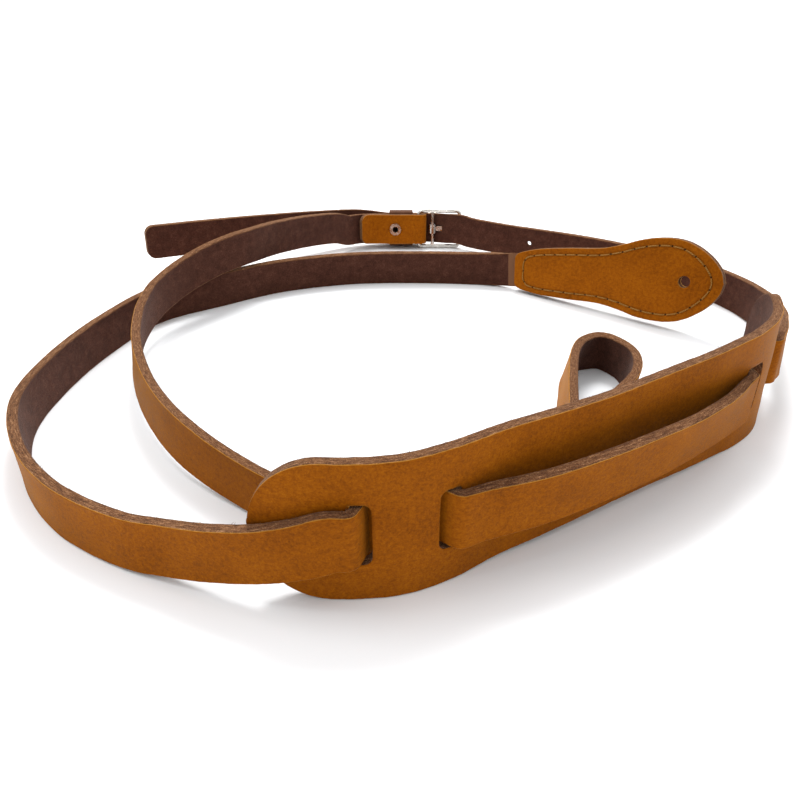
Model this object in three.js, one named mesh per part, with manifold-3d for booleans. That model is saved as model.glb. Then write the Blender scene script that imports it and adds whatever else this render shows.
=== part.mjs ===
// A leather mandolin strap that stands on its narrow edges in two nested loops: the long
// adjusting strap with its sewn pin tab and its buckle, the shoulder pad that the strap is
// threaded through, and the buckle strap whose far end makes the small scroll loop.
// Millimetres, +Z up. x runs to the right and y away from the front, where the pad stands.
import * as THREE from 'three';
import { mergeVertices } from 'three/addons/utils/BufferGeometryUtils.js';
import Module from 'manifold-3d';

// driving dimensions
const STRAP_WIDTH = 16;
const LEATHER = 3; // strap and pad leather
const GAP = 0.3; // between pieces that touch
const LONG_STEP = 14; // longest flat facet along a strap
const TURN_STEP = 8; // sharpest bend between two facets, degrees
const TONGUE_CORNER = 4; // rounding of the corners at the strap ends
const FLAP_CORNER = 4;

// shoulder pad: a long plate with round, slightly wider ends and four slots
const PAD_LENGTH = 210;
const PAD_BULB = 40.4;
const PAD_WAIST = 37.6;
const PAD_ROUND = 18.5; // length of each rounded end
const PAD_MIDDLE = PAD_BULB / 2 + 0.1; // height of its long centre line
const PAD_TIP_LEAN = -2.5; // the right end's upper edge tips inward, degrees
const SLOT_HEIGHT = 17.8;
const SLOT_CORNER = 1.2;
const SLOT_OPEN_CORNER = 2.2; // on the side that the strap leaves open
const PASS = LEATHER + GAP + 0.1; // from the pad's middle to a strap lying on it
const PASS_RADIUS = 2.3; // bend of the strap where it dives through a slot

// pin tab: two leaves sewn round the thinned end of the long strap
const TAB_LENGTH = 95;
const LEAF = 2.2;
const POCKET_DEPTH = 0.65;
const TAB_YAW = -36.2;
const TAB_RISE = 8.6;
const TAB_LEAN = -10.9;
const TAB_ROOT = { x: 42.1, y: 60.2, z: 9.6 }; // middle of its narrow end
const PIN_ALONG = 79.5;
const PIN_HOLE = 5;
const SKIVED = 1; // thinned strap end between the leaves
const TUCKED = 24; // how far that end reaches into the tab
const POCKET_LENGTH = 26;

// buckle: a flat frame with a front bar, a prong bar and a heel bar, in the order the long
// strap meets them; places are measured along that strap from the buckle's origin
const BUCKLE = { x: 0, y: 124.4, z: 10.7, lean: 9 };
const WIRE = 2.2;
const FRONT = -18.7;
const PRONG_BAR = -3.4;
const HEEL = 4.5;
const FRAME_INNER = 17.2;
const FRAME_ROUND = 2.2;
const BAR_RADIUS = 1;
const PRONG = { width: 2.6, thick: 1.1, sleeve: 5 }; // sleeve: the part curled round its bar
const SLEEVE_INNER = 1.35;
const SLEEVE_OUTER = 1.95;
const PRONG_ROOM = 0.35; // all round it, in the hole that slants through the strap
const FOLD_RADIUS = WIRE / 2 + GAP + LEATHER / 2;
const LAYER_OFFSET = 2.4; // fold layers either side of the buckle's middle plane
const OVER_OFFSET = 6.6; // the long strap outside both layers

// keeper and rivets
const KEEPER = { start: 7.8, end: 21, wall: 1.2 };
const BOW_ROOM = 0.2;
const RIVET_ALONG = 17.6;
const RIVET_BORE = 1.6;
const RIVET_TUBE = 2.1;
const RIVET_COLLAR = 3.4;
const COLLAR_THICK = 0.6;
const SHAFT_RADIUS = 1.6;
const CAP_RADIUS = 4;

// a free hole for the buckle prong
const HOLE = { x: 55.2, y: 103.9, radius: 1.2 };

const TAN = 0x9a5a14;
const NICKEL = 0xb9b6b0;

const wasm = await Module();
wasm.setup();

const Z = new THREE.Vector3(0, 0, 1);
const radians = THREE.MathUtils.degToRad;
const vector = (x, y, z) => new THREE.Vector3(x, y, z);

// ---------------------------------------------------------------- solids and meshes

// One vertex per corner, so that the surface is closed.
function weld(geometry) {
  const bare = geometry.clone();
  bare.deleteAttribute('normal');
  bare.deleteAttribute('uv');
  return mergeVertices(bare, 1e-4);
}

function toSolid(geometry) {
  return new wasm.Manifold(new wasm.Mesh({
    numProp: 3,
    vertProperties: new Float32Array(geometry.attributes.position.array),
    triVerts: new Uint32Array(geometry.index.array),
  }));
}

function toGeometry(solid) {
  const { vertProperties, triVerts } = solid.getMesh();
  const geometry = new THREE.BufferGeometry();
  geometry.setAttribute('position', new THREE.BufferAttribute(vertProperties, 3));
  geometry.setIndex(new THREE.BufferAttribute(triVerts, 1));
  geometry.computeVertexNormals();
  return geometry;
}

function cut(geometry, cutters) {
  let solid = toSolid(geometry);
  for (const cutter of cutters) solid = solid.subtract(toSolid(cutter));
  return toGeometry(solid);
}

function join(geometries) {
  let solid = toSolid(geometries[0]);
  for (const next of geometries.slice(1)) solid = solid.add(toSolid(next));
  return toGeometry(solid);
}

const leather = () => new THREE.MeshStandardMaterial({ color: TAN, roughness: 0.6, metalness: 0 });
const nickel = () => new THREE.MeshStandardMaterial({ color: NICKEL, roughness: 0.3, metalness: 1 });

function piece(name, geometry, material) {
  const mesh = new THREE.Mesh(geometry, material);
  mesh.name = name;
  return mesh;
}

// ---------------------------------------------------------------- leather walls

// Table rows give the middle line of a strap that stands on edge: lift is how far its lower
// edge is off the table and lean how far its upper edge tips outward, in degrees.
function standing(rows, width = STRAP_WIDTH) {
  return rows.map((row, i) => {
    const before = rows[Math.max(i - 1, 0)];
    const after = rows[Math.min(i + 1, rows.length - 1)];
    const heading = vector(after.x - before.x, after.y - before.y, 0).normalize();
    const outward = vector(heading.y, -heading.x, 0);
    const lean = radians(row.lean);
    const up = Z.clone().multiplyScalar(Math.cos(lean)).addScaledVector(outward, Math.sin(lean));
    const half = (width / 2) * Math.cos(lean) + (LEATHER / 2) * Math.abs(Math.sin(lean));
    return { point: vector(row.x, row.y, row.lift + half), up };
  });
}

// A smooth line through the rows, cut into stations: finer where it bends.
function stationsAlong(rows) {
  const curve = new THREE.CatmullRomCurve3(rows.map((row) => row.point), false, 'centripetal');
  const last = rows.length - 1;
  const stations = [];
  for (let i = 0; i < last; i += 1) {
    const turn = curve.getTangent(i / last).angleTo(curve.getTangent((i + 1) / last));
    const length = rows[i].point.distanceTo(rows[i + 1].point);
    const steps = Math.max(1, Math.ceil(length / LONG_STEP), Math.ceil(turn / radians(TURN_STEP)));
    for (let k = 0; k < steps + (i === last - 1 ? 1 : 0); k += 1) {
      const share = k / steps;
      const t = Math.min((i + share) / last, 1);
      const along = curve.getTangent(t);
      const hint = rows[i].up.clone().lerp(rows[i + 1].up, share);
      const up = hint.addScaledVector(along, -hint.dot(along)).normalize();
      stations.push({ point: curve.getPoint(t), along, up, out: along.clone().cross(up) });
    }
  }
  let run = 0;
  stations.forEach((station, i) => {
    if (i > 0) run += station.point.distanceTo(stations[i - 1].point);
    station.run = run;
  });
  return stations;
}

// A closed wall of rectangular section along the stations.
function wall(stations, widthAt, thickAt = () => LEATHER) {
  const positions = [];
  const index = [];
  const length = stations.at(-1).run;
  for (const station of stations) {
    const half = widthAt(station.run, length) / 2;
    const skin = thickAt(station.run, length) / 2;
    for (const [side, rise] of [[skin, -half], [skin, half], [-skin, half], [-skin, -half]]) {
      const corner = station.point.clone();
      corner.addScaledVector(station.out, side).addScaledVector(station.up, rise);
      positions.push(...corner.toArray());
    }
  }
  for (let i = 0; i < stations.length - 1; i += 1) {
    for (let k = 0; k < 4; k += 1) {
      const a = i * 4 + k;
      const b = i * 4 + ((k + 1) % 4);
      index.push(a, a + 4, b, b, a + 4, b + 4);
    }
  }
  const end = (stations.length - 1) * 4;
  index.push(0, 1, 2, 0, 2, 3, end, end + 2, end + 1, end, end + 3, end + 2);
  const geometry = new THREE.BufferGeometry();
  geometry.setAttribute('position', new THREE.Float32BufferAttribute(positions, 3));
  geometry.setIndex(index);
  return geometry;
}

// Width of a strap whose last corners are rounded off.
function roundedEnd(full, corner) {
  return (run, length) => {
    const short = Math.max(0, corner - (length - run));
    return full - 2 * (corner - Math.sqrt(Math.max(0, corner ** 2 - short ** 2)));
  };
}

// Adds the stations a rounded corner needs before the last one.
function withCorner(stations, corner) {
  const end = stations.at(-1);
  const rest = stations.filter(({ run }) => run < end.run - corner - 0.5);
  const steps = [0, 25, 45, 65, 80, 90].map((angle) => {
    const back = corner * (1 - Math.sin(radians(angle)));
    const point = end.point.clone().addScaledVector(end.along, -back);
    return { ...end, point, run: end.run - back };
  });
  return [...rest, ...steps];
}

// ---------------------------------------------------------------- local frames

// The frame of the buckle or of the tab: along the strap, up its width and out to its right,
// with its upper side leaning outward.
function makeFrame(origin, yaw, rise, lean) {
  const along = vector(Math.cos(yaw) * Math.cos(rise), Math.sin(yaw) * Math.cos(rise), Math.sin(rise));
  const upright = Z.clone().addScaledVector(along, -along.z).normalize();
  const right = along.clone().cross(upright);
  const up = upright.multiplyScalar(Math.cos(lean)).addScaledVector(right, Math.sin(lean));
  return { origin, along, up, out: along.clone().cross(up) };
}

function at(frame, along, out, up = 0) {
  const point = frame.origin.clone().addScaledVector(frame.along, along);
  return point.addScaledVector(frame.out, out).addScaledVector(frame.up, up);
}

const rowAt = (frame, along, out) => ({ point: at(frame, along, out), up: frame.up });

// Turns geometry drawn with x along, y up and z outward into the frame's place.
function place(geometry, frame, along = 0, out = 0, up = 0) {
  const basis = new THREE.Matrix4().makeBasis(frame.along, frame.up, frame.out);
  basis.setPosition(at(frame, along, out, up));
  return weld(geometry).applyMatrix4(basis);
}

// A round bar between two points.
function rod(from, to, radius, sides = 12) {
  const span = to.clone().sub(from);
  const geometry = weld(new THREE.CylinderGeometry(radius, radius, span.length(), sides));
  const turn = new THREE.Quaternion().setFromUnitVectors(vector(0, 1, 0), span.normalize());
  geometry.applyQuaternion(turn);
  return geometry.translate(...from.clone().add(to).multiplyScalar(0.5).toArray());
}

const buckleFrame = makeFrame(vector(BUCKLE.x, BUCKLE.y, BUCKLE.z), Math.PI, 0, radians(BUCKLE.lean));
const tabFrame = makeFrame(
  vector(TAB_ROOT.x, TAB_ROOT.y, TAB_ROOT.z),
  radians(TAB_YAW), radians(TAB_RISE), radians(TAB_LEAN),
);

// ---------------------------------------------------------------- shoulder pad

const PAD_ROUTE = [
  { x: -50, y: -138.8 },
  { x: -38, y: -140.6 },
  { x: -26, y: -141.2 },
  { x: -14, y: -139.6 },
  { x: -3, y: -134.8 },
  { x: 9, y: -126.9 },
  { x: 22, y: -119.7 },
  { x: 40, y: -109.1 },
  { x: 58, y: -97.9 },
  { x: 75.4, y: -87.3 },
  { x: 83.8, y: -81.7 },
  { x: 89.8, y: -77.7 },
  { x: 94.9, y: -73.5 },
  { x: 99.9, y: -68.4 },
  { x: 104.1, y: -62.5 },
  { x: 107.4, y: -55.7 },
  { x: 109.7, y: -48.8 },
  { x: 111.3, y: -41.7 },
  { x: 112.8, y: -31.9 },
];

const padCurve = new THREE.CatmullRomCurve3(
  PAD_ROUTE.map((row) => vector(row.x, row.y, PAD_MIDDLE)), false, 'centripetal',
);
padCurve.arcLengthDivisions = 2000;

function padFrameAt(run) {
  const u = Math.min(Math.max(run / PAD_LENGTH, 0), 1);
  const along = padCurve.getTangentAt(u);
  const lean = radians(PAD_TIP_LEAN * THREE.MathUtils.smoothstep(run, 148, 178));
  const outward = along.clone().cross(Z);
  const up = Z.clone().multiplyScalar(Math.cos(lean)).addScaledVector(outward, Math.sin(lean));
  return { origin: padCurve.getPointAt(u), along, up, out: along.clone().cross(up) };
}

function padHalfHeight(run) {
  const fromTip = Math.min(run, PAD_LENGTH - run);
  if (fromTip < PAD_ROUND) {
    return (PAD_BULB / 2) * Math.sqrt(Math.max(0.02, 1 - (1 - fromTip / PAD_ROUND) ** 2));
  }
  const ease = THREE.MathUtils.smoothstep(fromTip, 43, 97);
  return THREE.MathUtils.lerp(PAD_BULB, PAD_WAIST, ease) / 2;
}

function padStations() {
  const runs = [];
  const roundSteps = 9;
  const middleSteps = 26;
  for (let i = 0; i <= roundSteps; i += 1) {
    runs.push(PAD_ROUND * (1 - Math.cos((Math.PI / 2) * (i / roundSteps))));
  }
  for (let i = 1; i < middleSteps; i += 1) {
    runs.push(PAD_ROUND + (PAD_LENGTH - 2 * PAD_ROUND) * (i / middleSteps));
  }
  for (let i = roundSteps; i >= 0; i -= 1) {
    runs.push(PAD_LENGTH - PAD_ROUND * (1 - Math.cos((Math.PI / 2) * (i / roundSteps))));
  }
  return runs.map((run) => {
    const { origin, along, up, out } = padFrameAt(run);
    return { point: origin, along, up, out, run };
  });
}

// The slots from the left tip on: their width, how steeply the strap dives through them in
// degrees, and how far from the slot's middle it crosses the pad.
const SLOTS = [
  { run: 25.8, width: 5.8, turn: 65, aside: -0.25 },
  { run: 47.3, width: 5.8, turn: 65, aside: 0.25 },
  { run: 160.6, width: 9.8, turn: 60, aside: -2 },
  { run: 184.2, width: 5.8, turn: 65, aside: 0.25 },
];

// An upright oblong with rounded corners, as deep as asked, centred on the origin. The corners
// on its right may be rounder than those on its left.
function oblong(width, height, corner, depth, rightCorner = corner) {
  const outline = new THREE.Shape();
  const turns = [[1, 1, rightCorner], [-1, 1, corner], [-1, -1, corner], [1, -1, rightCorner]];
  turns.forEach(([side, rise, radius], quarter) => {
    const x = side * (width / 2 - radius);
    const y = rise * (height / 2 - radius);
    outline.absarc(x, y, radius, (quarter * Math.PI) / 2, ((quarter + 1) * Math.PI) / 2, false);
  });
  const block = new THREE.ExtrudeGeometry(outline, { depth, bevelEnabled: false, curveSegments: 4 });
  return block.translate(0, 0, -depth / 2);
}

function slotCutter({ run, width, aside }) {
  const [left, right] = aside < 0 ? [SLOT_CORNER, SLOT_OPEN_CORNER] : [SLOT_OPEN_CORNER, SLOT_CORNER];
  return place(oblong(width, SLOT_HEIGHT, left, LEATHER * 3, right), padFrameAt(run));
}

function makePad() {
  const plate = wall(padStations(), (run) => 2 * padHalfHeight(run));
  return cut(plate, SLOTS.map(slotCutter));
}

// ---------------------------------------------------------------- long strap

// From the tab round the back and the left bend to the pad.
const OUTER_LOOP = [
  { x: 37.5, y: 62.6, lift: 0.8, lean: 6 },
  { x: 31, y: 64.9, lift: 0.4, lean: 2 },
  { x: 18, y: 66.9, lift: 0, lean: -2 },
  { x: -1, y: 68, lift: 0, lean: -4 },
  { x: -38, y: 66.5, lift: 0, lean: -6 },
  { x: -72.5, y: 56, lift: 0, lean: -5 },
  { x: -98, y: 39.2, lift: 0, lean: -2 },
  { x: -121.7, y: 20.3, lift: 0, lean: -2 },
  { x: -133.3, y: -9, lift: 0, lean: 0 },
  { x: -139, y: -42, lift: 0, lean: 0 },
  { x: -137.7, y: -71.3, lift: 0, lean: 0 },
  { x: -125.6, y: -97, lift: 0, lean: 0 },
  { x: -107.4, y: -117.2, lift: 0, lean: -3 },
  { x: -85.1, y: -130.6, lift: 0.4, lean: -4 },
  { x: -71.9, y: -135.4, lift: 1.9, lean: -3 },
  { x: -60, y: -139.6, lift: 4.2, lean: 0 },
  { x: -48, y: -142.7, lift: 6.8, lean: 1 },
  { x: -38, y: -144.1, lift: 9.6, lean: 0 },
];

// The strap's distance from the pad's middle between its slots; between the inner slots it
// bows clear of the pad and its upper edge leans outward.
const BOW = [
  { run: 56, out: 4.2, lean: 2 },
  { run: 64, out: 6, lean: 4 },
  { run: 73.5, out: 7.2, lean: 5 },
  { run: 91.5, out: 8.1, lean: 6 },
  { run: 108, out: 8.4, lean: 7 },
  { run: 119, out: 8.4, lean: 8 },
  { run: 128, out: 7.6, lean: 9 },
  { run: 137, out: 6.5, lean: 8 },
  { run: 144, out: 5.4, lean: 6 },
  { run: 150, out: 4.3, lean: 2 },
];

// From the pad round the right bend to the buckle.
const RIGHT_BEND = [
  { x: 113.8, y: -51.6, lift: 12.2, lean: -6 },
  { x: 117.5, y: -45.5, lift: 11.3, lean: -4 },
  { x: 123.4, y: -34, lift: 9.3, lean: -2 },
  { x: 129.7, y: -21.2, lift: 6.9, lean: 0 },
  { x: 135.4, y: -6.5, lift: 4.1, lean: 0 },
  { x: 139.4, y: 6, lift: 1.9, lean: 0 },
  { x: 140.5, y: 17, lift: 0.8, lean: 0 },
  { x: 138.8, y: 31, lift: 0.1, lean: 0 },
  { x: 131.3, y: 48, lift: 0, lean: 0 },
  { x: 114, y: 68, lift: 0, lean: 0 },
  { x: 97.1, y: 82.3, lift: 0, lean: 0 },
  { x: 88, y: 88.4, lift: 0.1, lean: 1 },
  { x: 74, y: 95.8, lift: 0.4, lean: 2 },
  { x: 59, y: 102.2, lift: 0.8, lean: 4 },
  { x: 44, y: 108.6, lift: 1.2, lean: 5 },
  { x: 33, y: 113.8, lift: 1.7, lean: 6 },
  { x: 24.2, y: 118.3, lift: 2.2, lean: 7 },
];

// The free end behind the buckle rises as it goes.
const TONGUE = [
  { x: -38, y: 128, lift: 4.2, lean: 8 },
  { x: -60, y: 116.5, lift: 6.6, lean: 6 },
  { x: -85, y: 99.5, lift: 9.5, lean: 4 },
  { x: -110, y: 81.5, lift: 12.2, lean: 2 },
  { x: -138, y: 64, lift: 14, lean: 0 },
];

function padRow({ run, out, lean = 0 }) {
  const frame = padFrameAt(run);
  const tip = radians(lean);
  const up = frame.up.clone().multiplyScalar(Math.cos(tip)).addScaledVector(frame.out, Math.sin(tip));
  return { point: at(frame, 0, out), up };
}

// Rows of the dive through one slot, from one side of the pad to the other.
function passRows({ run, turn, aside }, fromOut) {
  const turned = radians(turn);
  const straightHalf = (PASS - PASS_RADIUS * (1 - Math.cos(turned))) / Math.sin(turned);
  const start = PASS_RADIUS * Math.sin(turned) + straightHalf * Math.cos(turned);
  const half = [0, 0.33, 0.67, 1].map((share) => ({
    along: -start + PASS_RADIUS * Math.sin(turned * share),
    out: PASS - PASS_RADIUS * (1 - Math.cos(turned * share)),
  }));
  const rest = half.toReversed().map(({ along, out }) => ({ along: -along, out: -out }));
  return [...half, ...rest].map(({ along, out }) => padRow({
    run: run + aside + along,
    out: out * fromOut,
  }));
}

function longStrapRows() {
  const tucked = [TUCKED, TUCKED / 2, 2, -1.5].map((along) => rowAt(tabFrame, along, 0));
  const [slot1, slot2, slot3, slot4] = SLOTS;
  return [
    ...tucked,
    ...standing(OUTER_LOOP),
    padRow({ run: slot1.run - 6, out: PASS }),
    ...passRows(slot1, 1),
    padRow({ run: (slot1.run + slot2.run) / 2, out: -PASS }),
    ...passRows(slot2, -1),
    ...BOW.map(padRow),
    ...passRows(slot3, 1),
    padRow({ run: (slot3.run + slot4.run) / 2, out: -PASS - 0.4 }),
    ...passRows(slot4, -1),
    ...standing(RIGHT_BEND),
    rowAt(buckleFrame, FRONT, -(WIRE + LEATHER) / 2 - GAP - 0.1),
    rowAt(buckleFrame, (FRONT + PRONG_BAR) / 2, 0.6),
    rowAt(buckleFrame, PRONG_BAR, 4.2),
    rowAt(buckleFrame, HEEL, 6.2),
    rowAt(buckleFrame, KEEPER.start, OVER_OFFSET),
    rowAt(buckleFrame, KEEPER.end, OVER_OFFSET),
    ...standing(TONGUE),
  ];
}

function makeLongStrap() {
  const stations = withCorner(stationsAlong(longStrapRows()), TONGUE_CORNER);
  const tongueEnd = roundedEnd(STRAP_WIDTH, TONGUE_CORNER);
  const thickness = (run) => THREE.MathUtils.lerp(
    SKIVED, LEATHER, THREE.MathUtils.clamp((run - TUCKED - 1.5) / 10, 0, 1),
  );
  const strap = wall(stations, tongueEnd, thickness);
  const free = nearest(stations, HOLE);
  const hole = rod(at(free, 0, -4), at(free, 0, 4), HOLE.radius, 10);
  const room = 2 * PRONG_ROOM;
  return cut(strap, [hole, shank(PRONG.width + room, PRONG.thick + room)]);
}

// The frame of the strap at the point of its middle line closest to a place on the table.
function nearest(stations, { x, y }) {
  let best = null;
  for (let i = 1; i < stations.length; i += 1) {
    const from = stations[i - 1];
    const span = stations[i].point.clone().sub(from.point);
    const flat = span.x ** 2 + span.y ** 2;
    const share = ((x - from.point.x) * span.x + (y - from.point.y) * span.y) / flat;
    const origin = from.point.clone().addScaledVector(span, THREE.MathUtils.clamp(share, 0, 1));
    const gap = Math.hypot(origin.x - x, origin.y - y);
    if (best && best.gap < gap) continue;
    const along = span.clone().normalize();
    const up = from.up.clone().addScaledVector(along, -from.up.dot(along)).normalize();
    best = { gap, origin, along, up, out: along.clone().cross(up) };
  }
  return best;
}

// ---------------------------------------------------------------- buckle strap

// From the buckle over the long strap, round the inner left bend and behind the pad, then
// round the scroll loop; the tail lies flesh to flesh on the strap behind the loop.
const INNER_LOOP = [
  { x: -49.8, y: 109.2, lift: 7.4, lean: -1 },
  { x: -62.7, y: 89.7, lift: 11.8, lean: -4 },
  { x: -75, y: 68.6, lift: 15.2, lean: -5 },
  { x: -79.6, y: 59.6, lift: 16.3, lean: -5 },
  { x: -85.5, y: 49.1, lift: 17.1, lean: -5 },
  { x: -92.4, y: 40.2, lift: 17, lean: -6 },
  { x: -99.8, y: 32.2, lift: 15.6, lean: -6 },
  { x: -107.2, y: 23, lift: 13.3, lean: -6 },
  { x: -112.4, y: 12.2, lift: 11.3, lean: -6 },
  { x: -115.2, y: 0, lift: 9.9, lean: -6 },
  { x: -115.5, y: -12, lift: 8.7, lean: -8 },
  { x: -114.3, y: -23.5, lift: 7.6, lean: -10 },
  { x: -107.3, y: -47, lift: 6.2, lean: -8 },
  { x: -94.8, y: -71.2, lift: 4.3, lean: -7 },
  { x: -78.5, y: -92, lift: 3, lean: -6 },
  { x: -57.5, y: -109.1, lift: 0.8, lean: -1 },
  { x: -42, y: -119, lift: 0, lean: 0 },
  { x: -27, y: -125.5, lift: 0, lean: 0 },
  { x: -12, y: -126.3, lift: 0, lean: 0 },
  { x: 3, y: -120, lift: 0, lean: 0 },
  { x: 17, y: -109.5, lift: 0, lean: 0 },
  { x: 30, y: -97.5, lift: 0, lean: 0 },
  { x: 38.8, y: -88, lift: 0, lean: 0 },
];

const SCROLL_LOOP = [
  { x: 46.4, y: -78.6, lift: 0, lean: 0 },
  { x: 56, y: -67.3, lift: 0, lean: 3 },
  { x: 64.6, y: -55.4, lift: 0, lean: 5 },
  { x: 68.8, y: -41.5, lift: 0, lean: 3 },
  { x: 67.4, y: -31.7, lift: 0, lean: -7 },
  { x: 61.6, y: -24.6, lift: 0, lean: -14 },
  { x: 53.6, y: -27, lift: 0, lean: -16 },
  { x: 48.5, y: -35, lift: 0, lean: -11 },
  { x: 44.7, y: -47.5, lift: 0, lean: -8 },
  { x: 41.4, y: -61.3, lift: 0, lean: -9 },
  { x: 38.4, y: -75.5, lift: 0, lean: -10 },
  { x: 36.9, y: -82.8, lift: 0, lean: -5 },
  { x: 33, y: -89.2, lift: 0, lean: 0 },
  { x: 27.5, y: -94.9, lift: 0, lean: 0 },
  { x: 22.1, y: -99.9, lift: 0, lean: 0 },
];

const LOOP_RIVET = { x: 30, y: -97.5 };

function buckleStrapRows() {
  const fold = [90, 60, 30, 0, -30, -60, -90].map((angle) => rowAt(
    buckleFrame,
    HEEL - FOLD_RADIUS * Math.cos(radians(angle)),
    -FOLD_RADIUS * Math.sin(radians(angle)),
  ));
  return [
    rowAt(buckleFrame, 36.9, -5),
    rowAt(buckleFrame, 32.8, -2.4),
    rowAt(buckleFrame, 28, -1.8),
    rowAt(buckleFrame, KEEPER.end, -LAYER_OFFSET),
    rowAt(buckleFrame, KEEPER.start, -LAYER_OFFSET),
    ...fold,
    rowAt(buckleFrame, KEEPER.start, LAYER_OFFSET),
    rowAt(buckleFrame, KEEPER.end, LAYER_OFFSET),
    rowAt(buckleFrame, 28, 1.9),
    rowAt(buckleFrame, 33, 1.3),
    rowAt(buckleFrame, 37.2, -0.3),
    rowAt(buckleFrame, 40.8, -3),
    rowAt(buckleFrame, 44.2, -7),
    ...standing(INNER_LOOP),
    ...standing(SCROLL_LOOP),
  ];
}

const loopRivetFrame = () => {
  const station = nearest(stationsAlong(standing(INNER_LOOP)), LOOP_RIVET);
  station.origin = at(station, 0, -(LEATHER + GAP) / 2);
  return station;
};

function makeBuckleStrap() {
  const flapEnd = roundedEnd(STRAP_WIDTH, FLAP_CORNER);
  const strap = wall(withCorner(stationsAlong(buckleStrapRows().reverse()), FLAP_CORNER), flapEnd);
  const reach = 5;
  const fold = rod(at(buckleFrame, RIVET_ALONG, -reach), at(buckleFrame, RIVET_ALONG, reach), RIVET_TUBE + GAP, 16);
  const loop = loopRivetFrame();
  const shaft = rod(at(loop, 0, -reach), at(loop, 0, reach), SHAFT_RADIUS + GAP, 12);
  return cut(strap, [fold, shaft]);
}

// ---------------------------------------------------------------- pin tab

// Half the tab's width along its length; it is the same above and below its axis.
const TAB_OUTLINE = [
  { along: 0, half: 6.4 },
  { along: 0.9, half: 7.7 },
  { along: 2.6, half: 8.6 },
  { along: 11, half: 10.5 },
  { along: 27, half: 11.7 },
  { along: 43, half: 12.4 },
  { along: 52, half: 14.3 },
  { along: 60, half: 16.6 },
  { along: 67, half: 17.6 },
  { along: 74, half: 17.6 },
  { along: 80, half: 16.2 },
  { along: 85.5, half: 13.3 },
  { along: 89, half: 10.6 },
  { along: 92, half: 7.4 },
  { along: 94, half: 4.2 },
];

function tabOutline() {
  const upper = TAB_OUTLINE.map(({ along, half }) => new THREE.Vector2(along, half));
  const lower = upper.toReversed().map(({ x, y }) => new THREE.Vector2(x, -y));
  const edge = new THREE.SplineCurve([...upper, new THREE.Vector2(TAB_LENGTH, 0), ...lower]);
  return new THREE.Shape(edge.getPoints(56));
}

// One leaf with its pocket for the strap end; side is 1 for the front leaf, -1 for the back.
function makeLeaf(side) {
  const flat = new THREE.ExtrudeGeometry(tabOutline(), { depth: LEAF, bevelEnabled: false });
  const leaf = place(flat, tabFrame, 0, side > 0 ? GAP / 2 : -GAP / 2 - LEAF);
  const pin = rod(at(tabFrame, PIN_ALONG, -LEAF * 2), at(tabFrame, PIN_ALONG, LEAF * 2), PIN_HOLE / 2, 24);
  const pocket = new THREE.BoxGeometry(POCKET_LENGTH + 5, STRAP_WIDTH + 2 * GAP, 2 * POCKET_DEPTH + GAP);
  return cut(leaf, [pin, place(pocket, tabFrame, (POCKET_LENGTH - 5) / 2)]);
}

// ---------------------------------------------------------------- buckle, keeper and rivets

// A round bar bent along points that lie in one plane; closed makes it a ring.
function bentBar(points, planeNormal, radius, sides, closed) {
  const positions = [];
  const index = [];
  const count = points.length;
  points.forEach((point, i) => {
    const before = points[closed ? (i - 1 + count) % count : Math.max(i - 1, 0)];
    const after = points[closed ? (i + 1) % count : Math.min(i + 1, count - 1)];
    const along = after.clone().sub(before).normalize();
    const across = planeNormal.clone().cross(along).normalize();
    for (let k = 0; k < sides; k += 1) {
      const angle = (2 * Math.PI * k) / sides;
      const rim = point.clone().addScaledVector(across, radius * Math.cos(angle));
      positions.push(...rim.addScaledVector(planeNormal, radius * Math.sin(angle)).toArray());
    }
  });
  const rings = closed ? count : count - 1;
  for (let i = 0; i < rings; i += 1) {
    for (let k = 0; k < sides; k += 1) {
      const a = i * sides + k;
      const b = i * sides + ((k + 1) % sides);
      const c = ((i + 1) % count) * sides + k;
      const d = ((i + 1) % count) * sides + ((k + 1) % sides);
      index.push(a, b, c, b, d, c);
    }
  }
  if (!closed) {
    const end = (count - 1) * sides;
    for (let k = 1; k < sides - 1; k += 1) index.push(0, k + 1, k, end, end + k, end + k + 1);
  }
  const geometry = new THREE.BufferGeometry();
  geometry.setAttribute('position', new THREE.Float32BufferAttribute(positions, 3));
  geometry.setIndex(index);
  return geometry;
}

// Points of a rounded rectangle in a frame's along-up plane.
function frameLoop(frame, start, end, halfHeight, corner, steps) {
  const points = [];
  const corners = [
    [end - corner, halfHeight - corner, 0],
    [start + corner, halfHeight - corner, 90],
    [start + corner, corner - halfHeight, 180],
    [end - corner, corner - halfHeight, 270],
  ];
  for (const [along, up, from] of corners) {
    for (let k = 0; k <= steps; k += 1) {
      const angle = radians(from + (90 * k) / steps);
      points.push(at(frame, along + corner * Math.cos(angle), 0, up + corner * Math.sin(angle)));
    }
  }
  return points;
}

function makeBuckleFrame() {
  const halfHeight = (FRAME_INNER + WIRE) / 2;
  const outline = frameLoop(buckleFrame, FRONT, HEEL, halfHeight, FRAME_ROUND, 5);
  const ring = bentBar(outline, buckleFrame.out, WIRE / 2, 12, true);
  const prongBar = rod(at(buckleFrame, PRONG_BAR, 0, -halfHeight), at(buckleFrame, PRONG_BAR, 0, halfHeight), BAR_RADIUS);
  return join([ring, prongBar]);
}

// The flat tongue of the prong, from its sleeve to the tip that rests outside the front bar.
function shank(width, thick) {
  const tail = at(buckleFrame, PRONG_BAR - SLEEVE_OUTER + 0.2, 0.5);
  const tip = at(buckleFrame, FRONT - 1.8, WIRE / 2 + GAP + PRONG.thick / 2);
  const length = tip.distanceTo(tail);
  const along = tip.clone().sub(tail).normalize();
  const frame = { origin: tail, along, up: buckleFrame.up, out: along.clone().cross(buckleFrame.up) };
  return place(oblong(length, width, 1.1, thick), frame, length / 2);
}

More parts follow.
